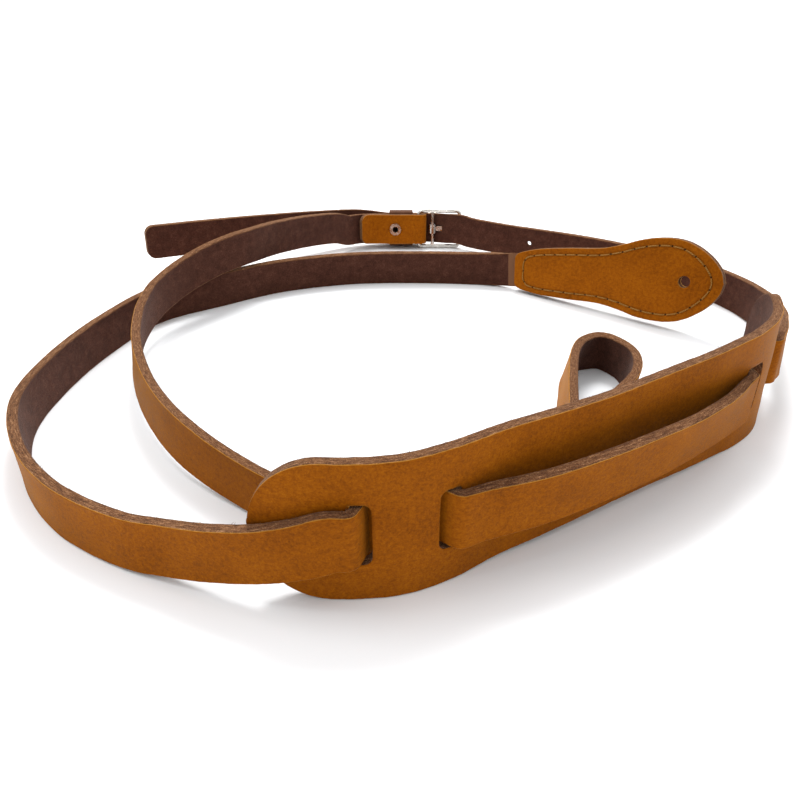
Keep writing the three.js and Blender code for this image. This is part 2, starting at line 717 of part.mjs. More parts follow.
function makeProng() {
  const half = PRONG.sleeve / 2;
  const profile = [
    [SLEEVE_INNER, -half],
    [SLEEVE_OUTER, -half],
    [SLEEVE_OUTER, half],
    [SLEEVE_INNER, half],
    [SLEEVE_INNER, -half],
  ].map(([x, y]) => new THREE.Vector2(x, y));
  const sleeve = place(new THREE.LatheGeometry(profile, 18), buckleFrame, PRONG_BAR);
  return join([sleeve, shank(PRONG.width, PRONG.thick)]);
}

// A closed band round the long strap and the outer layer of the fold.
function makeKeeper() {
  const inner = 0;
  const outer = OVER_OFFSET + LEATHER / 2 + GAP + KEEPER.wall / 2;
  const halfHeight = STRAP_WIDTH / 2 + GAP + KEEPER.wall / 2;
  const width = outer - inner + KEEPER.wall;
  const height = 2 * halfHeight + KEEPER.wall;
  const length = KEEPER.end - KEEPER.start;
  const block = oblong(width, height, 1.6, length);
  // The strap bows a little inside the keeper, so its hollow is cut deeper on the outer side.
  const hollow = oblong(width - 2 * KEEPER.wall + BOW_ROOM, height - 2 * KEEPER.wall, 0.4, length + 2)
    .translate(-BOW_ROOM / 2, 0, 0);
  const middle = (KEEPER.start + KEEPER.end) / 2;
  const across = {
    origin: at(buckleFrame, middle, (inner + outer) / 2),
    along: buckleFrame.out.clone().negate(),
    up: buckleFrame.up,
    out: buckleFrame.along,
  };
  const bore = rod(at(buckleFrame, RIVET_ALONG, -2), at(buckleFrame, RIVET_ALONG, 2), RIVET_TUBE + GAP, 16);
  return cut(place(block, across), [place(hollow, across), bore]);
}

// A tube with a collar at each face of the fold.
function makeFoldRivet() {
  const face = LAYER_OFFSET + LEATHER / 2 + GAP;
  const profile = [
    [RIVET_BORE, -face - COLLAR_THICK],
    [RIVET_COLLAR - 0.3, -face - COLLAR_THICK],
    [RIVET_COLLAR, -face],
    [RIVET_TUBE, -face],
    [RIVET_TUBE, face],
    [RIVET_COLLAR, face],
    [RIVET_COLLAR - 0.3, face + COLLAR_THICK],
    [RIVET_BORE, face + COLLAR_THICK],
    [RIVET_BORE, -face - COLLAR_THICK],
  ].map(([x, y]) => new THREE.Vector2(x, y));
  return place(new THREE.LatheGeometry(profile, 20).rotateX(Math.PI / 2), buckleFrame, RIVET_ALONG);
}

// A shaft with a domed cap on each side of the two layers behind the scroll loop.
function makeLoopRivet() {
  const face = LEATHER + GAP * 3;
  const profile = [
    [0, -face - 1.3],
    [2.2, -face - 1.1],
    [CAP_RADIUS, -face - 0.4],
    [CAP_RADIUS, -face],
    [SHAFT_RADIUS, -face],
    [SHAFT_RADIUS, face],
    [CAP_RADIUS, face],
    [CAP_RADIUS, face + 0.4],
    [2.2, face + 1.1],
    [0, face + 1.3],
  ].map(([x, y]) => new THREE.Vector2(x, y));
  return place(new THREE.LatheGeometry(profile, 16).rotateX(Math.PI / 2), loopRivetFrame());
}

// ---------------------------------------------------------------- assembly

const strap = new THREE.Group();
strap.name = 'mandolin_strap';
strap.add(
  piece('long_strap', makeLongStrap(), leather()),
  piece('buckle_strap', makeBuckleStrap(), leather()),
  piece('shoulder_pad', makePad(), leather()),
  piece('tab_front_leaf', makeLeaf(1), leather()),
  piece('tab_back_leaf', makeLeaf(-1), leather()),
  piece('buckle_frame', makeBuckleFrame(), nickel()),
  piece('buckle_prong', makeProng(), nickel()),
  piece('keeper_loop', makeKeeper(), leather()),
  piece('fold_rivet', makeFoldRivet(), nickel()),
  piece('loop_rivet', makeLoopRivet(), nickel()),
);

// The origin is the middle of the bounding box's floor.
const bounds = new THREE.Box3().setFromObject(strap);
const middle = bounds.getCenter(vector(0, 0, 0));
for (const mesh of strap.children) {
  mesh.geometry.translate(-middle.x, -middle.y, -bounds.min.z);
}

export default strap;
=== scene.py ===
import math

import bpy
import numpy as np
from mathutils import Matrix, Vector


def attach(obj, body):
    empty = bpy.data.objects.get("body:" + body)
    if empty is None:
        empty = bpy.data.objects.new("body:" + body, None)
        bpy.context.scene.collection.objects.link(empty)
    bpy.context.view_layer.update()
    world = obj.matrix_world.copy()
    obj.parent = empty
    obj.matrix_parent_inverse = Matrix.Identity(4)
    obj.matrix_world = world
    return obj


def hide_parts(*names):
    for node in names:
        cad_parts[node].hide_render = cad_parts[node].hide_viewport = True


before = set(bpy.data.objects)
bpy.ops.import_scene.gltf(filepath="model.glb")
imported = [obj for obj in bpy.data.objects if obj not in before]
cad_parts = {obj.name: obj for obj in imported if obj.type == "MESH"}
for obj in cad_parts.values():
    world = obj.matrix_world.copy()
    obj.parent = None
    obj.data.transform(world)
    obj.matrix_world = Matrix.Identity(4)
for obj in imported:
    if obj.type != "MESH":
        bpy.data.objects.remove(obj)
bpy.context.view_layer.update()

# ---------------------------------------------------------------- camera
# The strap is looked down on from in front of the shoulder pad, 13 cm above the table, with
# a wide lens.
VIEWPOINT = (-0.01553, -0.25548, 0.12705)
LOOKING_DOWN = 30.8  # degrees
lens = bpy.data.cameras.new("viewer")
lens.lens = 30.92
lens.sensor_width = 36
lens.clip_start = 0.01
lens.clip_end = 60
viewer = bpy.data.objects.new("viewer", lens)
bpy.context.scene.collection.objects.link(viewer)
viewer.location = VIEWPOINT
viewer.rotation_euler = (math.radians(90 - LOOKING_DOWN), 0, 0)
bpy.context.scene.camera = viewer

# ---------------------------------------------------------------- shoulder pad
# A long plate of bridle leather with round ends and four upright slots, cut with a press
# knife, so that its edges are raw. The strap is threaded through it and it stands on edge.
MM = 0.001
TABLE_MIDDLE = np.array([0.527, -5.515, -0.047])  # middle of the laid out strap, millimetres
LEATHER = 3
GAP = 0.3
STRAP_WIDTH = 16
PAD_LENGTH = 210
PAD_BULB = 40.4
PAD_WAIST = 37.6
PAD_ROUND = 18.5
PAD_MIDDLE = PAD_BULB / 2 + 0.1
NARROWING_START = 43  # from each tip, where the bulb starts to give way to the waist
NARROWING_LENGTH = 54
PAD_TIP_LEAN = -2.5  # the right end's upper edge tips inward, degrees
TIP_LEAN_START = 148
TIP_LEAN_LENGTH = 30
SLOTS = [  # distance from the left tip, width, steepness of the strap in it, its shift aside
    (25.8, 5.8, 65, -0.25), (47.3, 5.8, 65, 0.25), (160.6, 9.8, 60, -2), (184.2, 5.8, 65, 0.25),
]
SLOT_HEIGHT = 17.8
SLOT_CORNER = 1.2
SLOT_OPEN_CORNER = 2.2  # on the side that the strap leaves open
UPRIGHT = np.array([0.0, 0.0, 1.0])
PAD_ROUTE = [
    (-50, -138.8), (-38, -140.6), (-26, -141.2), (-14, -139.6), (-3, -134.8), (9, -126.9),
    (22, -119.7), (40, -109.1), (58, -97.9), (75.4, -87.3), (83.8, -81.7), (89.8, -77.7),
    (94.9, -73.5), (99.9, -68.4), (104.1, -62.5), (107.4, -55.7), (109.7, -48.8),
    (111.3, -41.7), (112.8, -31.9),
]


def unit(v):
    """Vectors of length one."""
    v = np.asarray(v, float)
    return v / np.maximum(np.linalg.norm(v, axis=-1, keepdims=True), 1e-12)


def distances(points):
    """How far each point lies along the line through them all."""
    return np.concatenate([[0], np.cumsum(np.linalg.norm(np.diff(points, axis=0), axis=1))])


def smooth_line(points, counts):
    """A centripetal Catmull-Rom line through the points, with so many steps in each span.
    Returns the places and, for each, its span and its share of the span."""
    points = np.asarray(points, float)
    padded = np.vstack([2 * points[0] - points[1], points, 2 * points[-1] - points[-2]])
    places, spans, shares = [], [], []
    for i, count in enumerate(counts):
        p0, p1, p2, p3 = padded[i:i + 4]
        d0, d1, d2 = (max(np.linalg.norm(b - a) ** 0.5, 1e-4)
                      for a, b in ((p0, p1), (p1, p2), (p2, p3)))
        t1 = ((p1 - p0) / d0 - (p2 - p0) / (d0 + d1) + (p2 - p1) / d1) * d1
        t2 = ((p2 - p1) / d1 - (p3 - p1) / (d1 + d2) + (p3 - p2) / d2) * d1
        last = i == len(counts) - 1
        for share in np.arange(count + (1 if last else 0)) / count:
            places.append(
                p1 + t1 * share + (3 * (p2 - p1) - 2 * t1 - t2) * share ** 2
                + (2 * (p1 - p2) + t1 + t2) * share ** 3
            )
            spans.append(i)
            shares.append(share)
    return np.array(places), np.array(spans), np.array(shares)


pad_line, _, _ = smooth_line([(x, y, PAD_MIDDLE) for x, y in PAD_ROUTE], [80] * (len(PAD_ROUTE) - 1))
pad_reach = distances(pad_line)
pad_reach *= PAD_LENGTH / pad_reach[-1]
pad_heading = unit(np.gradient(pad_line, pad_reach, axis=0))


def eased(share):
    share = min(max(share, 0), 1)
    return share * share * (3 - 2 * share)


def pad_frame(run):
    """Place, heading, up and outward at a distance from the pad's left tip."""
    place = np.array([np.interp(run, pad_reach, pad_line[:, k]) for k in range(3)])
    heading = unit([np.interp(run, pad_reach, pad_heading[:, k]) for k in range(3)])
    lean = math.radians(PAD_TIP_LEAN * eased((run - TIP_LEAN_START) / TIP_LEAN_LENGTH))
    up = UPRIGHT * math.cos(lean) + np.cross(heading, UPRIGHT) * math.sin(lean)
    return place, heading, up, np.cross(heading, up)


def pad_half_height(run):
    from_tip = min(run, PAD_LENGTH - run)
    if from_tip < PAD_ROUND:
        return PAD_BULB / 2 * math.sqrt(max(0.02, 1 - (1 - from_tip / PAD_ROUND) ** 2))
    narrowing = eased((from_tip - NARROWING_START) / NARROWING_LENGTH)
    return (PAD_BULB + (PAD_WAIST - PAD_BULB) * narrowing) / 2


def stations(places, ups):
    """What a leather wall is built on: middle line, heading, up, outward and distance."""
    run = distances(places)
    along = unit(np.gradient(places, run, axis=0))
    up = unit(ups - along * np.sum(ups * along, axis=1, keepdims=True))
    return {"point": places, "along": along, "up": up, "out": np.cross(along, up), "run": run}


def ripple(points, size, seed):
    """Soft waves between -1 and 1 over places in millimetres, a few crests each size."""
    dice = np.random.default_rng(seed)
    total = np.zeros(len(points))
    for _ in range(14):
        direction = unit(dice.normal(size=3))
        pitch = size * dice.uniform(0.55, 1.7)
        total += np.sin(points @ direction * (2 * math.pi / pitch) + dice.uniform(0, 6.28))
    return total / 4.5


def laid_out(name, places, faces):
    """A mesh from places in millimetres on the laid out strap."""
    mesh = bpy.data.meshes.new(name)
    mesh.from_pydata(((np.asarray(places) - TABLE_MIDDLE) * MM).tolist(), [], faces)
    return mesh


FACE = 14  # quads across a face of a leather wall
EDGE = 7  # quads across its cut edge
ARC = 4  # quads round its corner
CORNER = 0.42  # wear of a cut corner
FLARE_FADE = 0.9  # how far the flare of a cut edge reaches over the face
FRAY_REACH = 0.3  # how far the fraying reaches over the face
FRAY_EASE = 0.5


def leather_wall(name, line, halves, skins, seed, rough=0.05, wavy=0.05, face=FACE, flare=0,
                 dent=None, pared=None):
    """A closed wall of leather along a line of stations. Each corner of its faces carries
    where it lies in the hide (along, across and through, in millimetres) and its layer,
    from 1 on the grain to -1 on the flesh. Faces are of three kinds: grain, cut edge, flesh.
    The cut edges flare a little, and dent gives how deep the grain is pressed in."""
    count = len(line["run"])
    halves = np.broadcast_to(halves, count)[:, None]
    skins = np.broadcast_to(skins, count)[:, None]
    flare = np.broadcast_to(flare, count)[:, None]
    corner = np.minimum(CORNER, 0.4 * np.minimum(halves, skins))
    rows = np.concatenate([[-1], np.linspace(-0.97, 0.97, face - 1), [1]])[None, :]
    turn = np.radians(90 * np.arange(1, ARC) / ARC)[None, :]
    rims = np.linspace(1, -1, EDGE + 1)[None, :]
    face_across = rows * (halves - corner)
    arc_across = halves - corner + corner * np.sin(turn)
    arc_through = skins - corner + corner * np.cos(turn)
    edge_through = rims * (skins - corner)
    full = np.ones_like(face_across)
    flat = np.ones_like(edge_through)
    across = np.hstack([face_across, arc_across, halves * flat, arc_across[:, ::-1],
                        -face_across, -arc_across, -halves * flat, -arc_across[:, ::-1]])
    through = np.hstack([skins * full, arc_through, edge_through, -arc_through[:, ::-1],
                         -skins * full, -arc_through, -edge_through, arc_through[:, ::-1]])
    layer = through / skins
    around = across.shape[1]
    hide = np.stack([np.repeat(line["run"][:, None], around, 1), across, through], axis=2)
    placed = through * (1 + flare / skins * np.exp(-(halves - np.abs(across)) / FLARE_FADE))
    if dent:
        placed = placed - dent(hide[..., 0], across) * (layer > 0.99)
    shape = (line["point"][:, None] + line["out"][:, None] * placed[..., None]
             + line["up"][:, None] * across[..., None]).reshape(-1, 3)
    flat_hide = hide.reshape(-1, 3)
    out = np.repeat(line["out"], around, 0)
    up = np.repeat(line["up"], around, 0)
    cut = (np.abs(across) - halves + corner + FRAY_REACH) / FRAY_EASE
    cut = np.clip(cut, 0, 1).reshape(-1, 1)
    shape += out * (ripple(flat_hide, 17, seed) * wavy).reshape(-1, 1)
    frayed = ripple(flat_hide * [1, 0.4, 2.5], 1.0, seed + 1) + 0.5 * ripple(flat_hide, 3.5, seed + 2)
    shape += up * (np.sign(across).reshape(-1, 1) * frayed.reshape(-1, 1) * cut * rough)
    shape += out * (ripple(flat_hide, 2.1, seed + 3).reshape(-1, 1) * cut * rough * 0.4)
    ring = np.arange(around)
    nxt = np.roll(ring, -1)
    step = (np.arange(count - 1) * around)[:, None]
    quads = np.stack([step + ring, step + around + ring, step + around + nxt, step + nxt], 2)
    kinds = np.array([0] * face + [1] * (2 * ARC + EDGE) + [2] * face + [1] * (2 * ARC + EDGE))
    kinds[[face, face + 1, around - 1, around - 2]] = 0
    faces = quads.reshape(-1, 4).tolist()
    slots = np.tile(kinds, count - 1).tolist()
    faces += [ring.tolist(), (ring + (count - 1) * around)[::-1].tolist()]
    slots += [1, 1]
    mesh = laid_out(name, shape, faces)
    mesh.polygons.foreach_set("material_index", slots)
    smooth = np.ones(len(faces), bool)
    smooth[-2:] = False
    mesh.polygons.foreach_set("use_smooth", smooth)
    write_hide(mesh, flat_hide + [seed * 37.0, seed * 11.0, 0], layer.reshape(-1))
    if pared is not None:
        write_value(mesh, "pared", np.repeat(pared, around))
    return leather_piece(mesh)


def corner_owners(mesh):
    """The vertex that each face corner sits on."""
    owners = np.empty(len(mesh.loops), int)
    mesh.loops.foreach_get("vertex_index", owners)
    return owners


def write_value(mesh, name, values):
    """Stores a number at every face corner."""
    kept = mesh.attributes.new(name, "FLOAT", "CORNER")
    kept.data.foreach_set("value", values[corner_owners(mesh)].astype(np.float32))


def write_hide(mesh, hide, layer):
    """Stores the place in the hide and the layer at every face corner."""
    place = mesh.attributes.new("hide", "FLOAT_VECTOR", "CORNER")
    place.data.foreach_set("vector", hide[corner_owners(mesh)].astype(np.float32).ravel())
    write_value(mesh, "layer", layer)


HAIR_LENGTH = 0.22
LONGEST_HAIR = 1.1
HAIR_RADII = ((0, 0.05), (0.55, 0.036))  # at shares of its length; it ends in a point
THIRD_TURN = 2.094  # radians
TABLE_CLEARANCE = 0.1


def fibres(name, line, halves, skins, seed, thick=1.0):
    """Short hairs along the cut edges, mostly from the flesh side and on the upper edge."""
    dice = np.random.default_rng(seed)
    top = 1 if line["up"][len(line["up"]) // 2, 2] >= 0 else -1
    halves = np.broadcast_to(halves, len(line["run"]))
    skins = np.broadcast_to(skins, len(line["run"]))
    verts, faces, hides, layers = [], [], [], []
    for side, per_mm in ((top, 2.2), (-top, 0.7)):
        for run in dice.uniform(0, line["run"][-1], int(line["run"][-1] * per_mm)):
            i = min(int(np.searchsorted(line["run"], run)), len(line["run"]) - 1)
            depth = float(np.clip(dice.normal(-0.35, 0.5), -0.97, 0.85))
            root = (line["point"][i] + line["up"][i] * side * (halves[i] - 0.12)
                    + line["out"][i] * skins[i] * depth)
            aim = unit(line["up"][i] * side * dice.uniform(0.15, 1)
                       + line["out"][i] * (0.7 * depth + dice.normal(0, 0.5))
                       + line["along"][i] * dice.normal(0, 0.7))
            curl = unit(np.cross(aim, dice.normal(size=3)))
            length = min(HAIR_LENGTH + dice.exponential(HAIR_LENGTH), LONGEST_HAIR)
            across = unit(np.cross(aim, line["along"][i] + 0.01))
            third = np.cross(aim, across)
            tip = root + aim * length + curl * length * 0.3
            if min(root[2], tip[2]) < TABLE_MIDDLE[2] + TABLE_CLEARANCE:
                continue
            first = len(verts)
            for share, radius in HAIR_RADII:
                middle = root + aim * length * share + curl * length * 0.25 * share ** 2
                for k in range(3):
                    angle = THIRD_TURN * k
                    verts.append(middle + (across * math.cos(angle) + third * math.sin(angle))
                                 * radius * thick)
            verts.append(tip)
            faces.append((first, first + 2, first + 1))
            for k in range(3):
                j = (k + 1) % 3
                faces.append((first + k, first + j, first + 3 + j, first + 3 + k))
                faces.append((first + 3 + k, first + 3 + j, first + 6))
            shade = dice.uniform(0, 40)
            hides += [(run, shade, depth)] * 7
            layers += [0.3 * depth] * 7
    mesh = laid_out(name, verts, faces)
    mesh.polygons.foreach_set("material_index", [1] * len(faces))
    mesh.polygons.foreach_set("use_smooth", [True] * len(faces))
    write_hide(mesh, np.array(hides, float), np.array(layers, float))
    hairs = leather_piece(mesh)
    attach(hairs, "root")


def add(tree, kind, inputs=None, **settings):
    """A shader node with its settings, and its inputs set or joined."""
    made = tree.nodes.new(kind)
    for key, value in settings.items():
        setattr(made, key, value)
    for socket, value in (inputs or {}).items():
        if isinstance(value, bpy.types.NodeSocket):
            tree.links.new(value, made.inputs[socket])
        else:
            made.inputs[socket].default_value = value
    return made


def noise(tree, place, scale, detail=3, roughness=0.6, stretch=(1, 1, 1)):
    """Value from 0 to 1 over the hide; scale is in waves a millimetre."""
    if stretch != (1, 1, 1):
        place = add(tree, "ShaderNodeVectorMath", {0: place, 1: stretch},
                    operation="MULTIPLY").outputs[0]
    sockets = {"Vector": place, "Scale": scale, "Detail": detail, "Roughness": roughness}
    return add(tree, "ShaderNodeTexNoise", sockets).outputs["Fac"]


def ramp(tree, value, stops):
    """Colours laid out over a value."""
    made = add(tree, "ShaderNodeValToRGB", {"Fac": value})
    band = made.color_ramp
    while len(band.elements) < len(stops):
        band.elements.new(0.5)
    for element, (place, colour) in zip(band.elements, stops):
        element.position = place
        element.color = (*colour, 1)
    return made.outputs["Color"]


def grey(tree, value, low, high, bottom=0.0, top=1.0):
    """A value stretched from one range to another and held at its ends."""
    return add(tree, "ShaderNodeMapRange", {
        "Value": value, "From Min": low, "From Max": high, "To Min": bottom, "To Max": top,
    }).outputs["Result"]


def maths(tree, operation, a, b):
    """One sum of two values."""
    return add(tree, "ShaderNodeMath", {0: a, 1: b}, operation=operation).outputs[0]


def weighted(tree, first, *others):
    """The sum of (value, weight) pairs, each value times its weight."""
    total = maths(tree, "MULTIPLY", *first)
    return maths(tree, "ADD", total, weighted(tree, *others)) if others else total


def mixed(tree, share, a, b, how="MIX"):
    """Two colours mixed by a share."""
    made = tree.nodes.new("ShaderNodeMix")
    made.data_type = "RGBA"
    made.blend_type = how
    for socket, value in ((0, share), (6, a), (7, b)):
        if isinstance(value, bpy.types.NodeSocket):
            tree.links.new(value, made.inputs[socket])
        else:
            made.inputs[socket].default_value = value if socket == 0 else (*value, 1)
    return made.outputs[2]


def new_material(name):
    """A material with its shader tree and its surface."""
    material = bpy.data.materials.new(name)
    material.use_nodes = True
    return material, material.node_tree, material.node_tree.nodes["Principled BSDF"]


def leather_finish(name, sheen, sheen_tint, shine):
    """A bare leather material with its tree, its surface, its place in the hide and its layer."""
    material, tree, surface = new_material(name)
    surface.inputs["Sheen Weight"].default_value = sheen
    surface.inputs["Sheen Roughness"].default_value = 0.45
    surface.inputs["Sheen Tint"].default_value = (*sheen_tint, 1)
    surface.inputs["Specular IOR Level"].default_value = shine
    hide = add(tree, "ShaderNodeAttribute", attribute_name="hide").outputs["Vector"]
    layer = add(tree, "ShaderNodeAttribute", attribute_name="layer").outputs["Fac"]
    return material, tree, surface, hide, layer


def finish_surface(tree, surface, colour, roughness, height, depth, strength=1.0):
    """Joins colour, roughness and a bump of so many millimetres to the surface."""
    tree.links.new(colour, surface.inputs["Base Color"])
    tree.links.new(roughness, surface.inputs["Roughness"])
    bump = add(tree, "ShaderNodeBump", {"Height": height, "Distance": depth * MM, "Strength": strength})
    tree.links.new(bump.outputs["Normal"], surface.inputs["Normal"])


# the grain side: oiled, evenly dyed tan with fine darker and lighter specks, and a painted highlight
# along its cut corners
grain, tree, surface, hide, layer = leather_finish("grain side", 0.09, (0.9, 0.8, 0.22), 0.035)
clouds = noise(tree, hide, 0.07, 2, 0.5)
mottle = noise(tree, hide, 0.75, 3, 0.65)
speckle = noise(tree, hide, 1.9, 3, 0.7)
pores = add(tree, "ShaderNodeTexVoronoi", {"Vector": hide, "Scale": 2.1, "Randomness": 1.0})
pores = pores.outputs["Distance"]
tone = weighted(tree, (clouds, 0.22), (mottle, 0.38), (speckle, 0.40))
tan = ramp(tree, tone, [
    (0.34, (0.150, 0.038, 0.0010)), (0.45, (0.230, 0.059, 0.0013)),
    (0.55, (0.296, 0.081, 0.0018)), (0.68, (0.390, 0.116, 0.0040)),
])
dark_pores = grey(tree, pores, 0.0, 0.26, 0.66, 1.0)
tan = mixed(tree, 1.0, tan, add(tree, "ShaderNodeCombineColor", {
    "Red": dark_pores, "Green": dark_pores, "Blue": dark_pores}).outputs["Color"], "MULTIPLY")
# painted highlight: the grain turns pale yellow-tan where its layer drops below 0.985, along the cut
# corners
corner_highlight = grey(tree, layer, 0.985, 0.80)
tan = mixed(tree, maths(tree, "MULTIPLY", corner_highlight, 0.8), tan, (0.47, 0.215, 0.035))
dull = grey(tree, mottle, 0.3, 0.7, 0.5, 0.62)
relief = weighted(tree, (grey(tree, pores, 0.0, 0.3), 0.7), (speckle, 0.9))
finish_surface(tree, surface, tan, dull, relief, 0.10, 0.6)

# the cut edge: layered brown fibres, paler in streaks, that thin to a painted highlight along the
# grain's corner
edge, tree, surface, hide, layer = leather_finish("cut edge", 0.12, (0.95, 0.8, 0.6), 0.1)
strands = noise(tree, hide, 1.5, 5, 0.75, (0.25, 1.0, 2.6))
crumbs = noise(tree, hide, 2.8, 4, 0.75)
weave = weighted(tree, (strands, 0.6), (crumbs, 0.4))
raw = ramp(tree, weave, [
    (0.38, (0.030, 0.010, 0.004)), (0.46, (0.092, 0.034, 0.013)),
    (0.54, (0.190, 0.082, 0.034)), (0.61, (0.40, 0.215, 0.105)),
])
# painted highlight: the edge pales to yellow-tan near the grain, continuing the grain's painted corner
# highlight
painted_highlight_line = grey(tree, maths(tree, "ADD", layer, maths(tree, "MULTIPLY", crumbs, 0.16)), 0.86, 1.0)
raw = mixed(tree, painted_highlight_line, raw, (0.52, 0.235, 0.035))
dark_line = grey(tree, layer, -0.62, -0.98)
raw = mixed(tree, maths(tree, "MULTIPLY", dark_line, 0.6), raw, (0.085, 0.032, 0.016))
matt = grey(tree, crumbs, 0.3, 0.7, 0.82, 0.97)
finish_surface(tree, surface, raw, matt, weave, 0.5, 1.0)

# the flesh side: dyed dark red-brown, with a short raised nap; pared paler at the tab
flesh, tree, surface, hide, layer = leather_finish("flesh side", 0.1, (0.9, 0.74, 0.66), 0.08)
nap = noise(tree, hide, 2.4, 5, 0.78, (1, 0.8, 1))
patches = noise(tree, hide, 0.3, 3, 0.6)
pile = weighted(tree, (nap, 0.7), (patches, 0.3))
umber = ramp(tree, pile, [
    (0.34, (0.028, 0.0095, 0.0060)), (0.46, (0.052, 0.0180, 0.0110)),
    (0.55, (0.075, 0.0270, 0.0165)), (0.68, (0.128, 0.054, 0.035)),
])
worn = grey(tree, layer, -0.99, -0.88)
umber = mixed(tree, maths(tree, "MULTIPLY", worn, 0.5), umber, (0.13, 0.058, 0.028))
thin = add(tree, "ShaderNodeAttribute", attribute_name="pared").outputs["Fac"]
thin = grey(tree, maths(tree, "ADD", thin, maths(tree, "MULTIPLY", nap, 0.5)), 0.7, 0.85)
umber = mixed(tree, thin, umber, (0.19, 0.088, 0.045))
velvet = grey(tree, nap, 0.3, 0.7, 0.8, 0.96)
finish_surface(tree, surface, umber, velvet, pile, 0.3, 0.9)


def leather_object(mesh):
    """An object, named as its mesh, with the three leather finishes."""
    made = bpy.data.objects.new(mesh.name, mesh)
    bpy.context.scene.collection.objects.link(made)
    for material in (grain, edge, flesh):
        mesh.materials.append(material)
    return made


def leather_piece(mesh):
    """A piece of the strap's leather."""
    piece = leather_object(mesh)
    return piece


def cutting_tool(mesh):
    """A hidden object that holes are punched with."""
    tool = leather_object(mesh)
    tool.hide_render = True
    return tool


def punched(piece, cutters):
    """Cuts holes; their walls take the finish of the cutter's faces."""
    for cutter in cutters:
        knife = piece.modifiers.new("knife", "BOOLEAN")
        knife.operation = "DIFFERENCE"
        knife.solver = "EXACT"
        knife.object = cutter
    bpy.context.view_layer.update()
    state = bpy.context.evaluated_depsgraph_get()
    mesh = bpy.data.meshes.new_from_object(piece.evaluated_get(state),
                                           preserve_all_data_layers=True, depsgraph=state)
    piece.modifiers.clear()
    piece.data = mesh
    for cutter in cutters:
        bpy.data.objects.remove(cutter)


KNIFE_LEVELS = 9
CIRCLE_SIDES = 28


def hole_cutter(frame_at, outline, deep, seed=0):
    """A tool with an outline (along, up) and the frame's outward as its depth. Its walls
    carry their place in the hide too."""
    point, along, up, out = frame_at
    outline = np.asarray(outline, float)
    count = len(outline)
    levels = np.linspace(-deep, deep, KNIFE_LEVELS)
    hide = np.array([(a, b, level) for level in levels for a, b in outline])
    shape = point + hide[:, :1] * along + hide[:, 1:2] * up + hide[:, 2:] * out
    faces = []
    for k in range(len(levels) - 1):
        for i in range(count):
            j = (i + 1) % count
            faces.append((k * count + i, k * count + j, (k + 1) * count + j, (k + 1) * count + i))
    top = (len(levels) - 1) * count
    faces += [tuple(range(count))[::-1], tuple(range(top, top + count))]
    mesh = laid_out("knife", shape, faces)
    mesh.polygons.foreach_set("material_index", [1] * len(faces))
    mesh.polygons.foreach_set("use_smooth", [True] * len(faces))
    write_hide(mesh, hide + [seed * 5.0, seed * 3.0, 0], hide[:, 2] / (LEATHER / 2) * 0.8)
    return cutting_tool(mesh)


def oblong(width, height, corner, right_corner=None, steps=5):
    """The outline of an upright hole with rounded corners, rounder on its right if asked."""
    points = []
    right = right_corner or corner
    for cx, cy, radius, start in ((1, 1, right, 0), (-1, 1, corner, 90),
                                  (-1, -1, corner, 180), (1, -1, right, 270)):
        for k in range(steps + 1):
            angle = math.radians(start + 90 * k / steps)
            points.append((cx * (width / 2 - radius) + radius * math.cos(angle),
                           cy * (height / 2 - radius) + radius * math.sin(angle)))
    return points


def circle(radius):
    """The outline of a round hole."""
    angles = [2 * math.pi * k / CIRCLE_SIDES for k in range(CIRCLE_SIDES)]
    return [(radius * math.cos(angle), radius * math.sin(angle)) for angle in angles]


tip_runs = PAD_ROUND * (1 - np.cos(np.radians(np.linspace(0, 90, 30))))
pad_runs = np.concatenate([tip_runs, np.linspace(PAD_ROUND, PAD_LENGTH - PAD_ROUND, 190)[1:-1],
                           PAD_LENGTH - tip_runs[::-1]])
pad_places = np.array([pad_frame(run)[0] for run in pad_runs])
pad_walls = stations(pad_places, np.array([pad_frame(run)[2] for run in pad_runs]))
pad_halves = np.array([pad_half_height(run) for run in pad_runs])
pad = leather_wall("shoulder_pad_leather", pad_walls, pad_halves, LEATHER / 2, seed=3, face=30,
                   wavy=0.1, flare=0.12)
slot_knives = []
for i, (run, width, _, aside) in enumerate(SLOTS):
    corners = (SLOT_CORNER, SLOT_OPEN_CORNER)[::1 if aside < 0 else -1]
    outline = oblong(width, SLOT_HEIGHT, *corners)
    slot_knives.append(hole_cutter(pad_frame(run), outline, 4, seed=i + 1))
punched(pad, slot_knives)
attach(pad, "root")
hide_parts("shoulder_pad")
fibres("shoulder_pad_fibres", pad_walls, pad_halves, LEATHER / 2, 31)

# ---------------------------------------------------------------- long strap
# A strap of the same leather, about a metre long. Its thinned end is sewn into the pin tab;
# it stands round the back and the left, is threaded through the pad, bows clear of it in the
# middle, turns round the right and goes through the buckle to its free end.
TUCKED = 24  # how far the thinned end reaches into the tab
SKIVED = 1  # its thickness
TONGUE_CORNER = 4
PASS = LEATHER + GAP + 0.1  # from the pad's middle to a strap lying on it
PASS_RADIUS = 2.3  # bend of the strap where it dives through a slot
WIRE = 2.2
FRONT = -18.7  # the buckle's bars, along its frame
PRONG_BAR = -3.4
HEEL = 4.5
OVER_OFFSET = 6.6  # the long strap outside both layers of the fold
KEEPER_START = 7.8
KEEPER_END = 21
SKIVE_START = 1.5  # past the tucked end
SKIVE_LENGTH = 10
BARED = 5  # how far past the tucked end the flesh is pared
BARED_EASE = 1.5
FREE_HOLE = (55.2, 103.9)
HOLE_RADIUS = 1.2
PRONG_TAIL = (PRONG_BAR - 1.75, 0.5)  # ends of the prong's slanting slot, along and out
PRONG_TIP = (FRONT - 1.8, WIRE / 2 + GAP + 0.55)
PRONG_SLOT_WIDTH = 3.3
PRONG_SLOT_THICK = 1.8
PRONG_SLOT_CORNER = 1.1
FLARE = 0.22  # of a cut edge that nothing holds
FLARE_EASE = 8


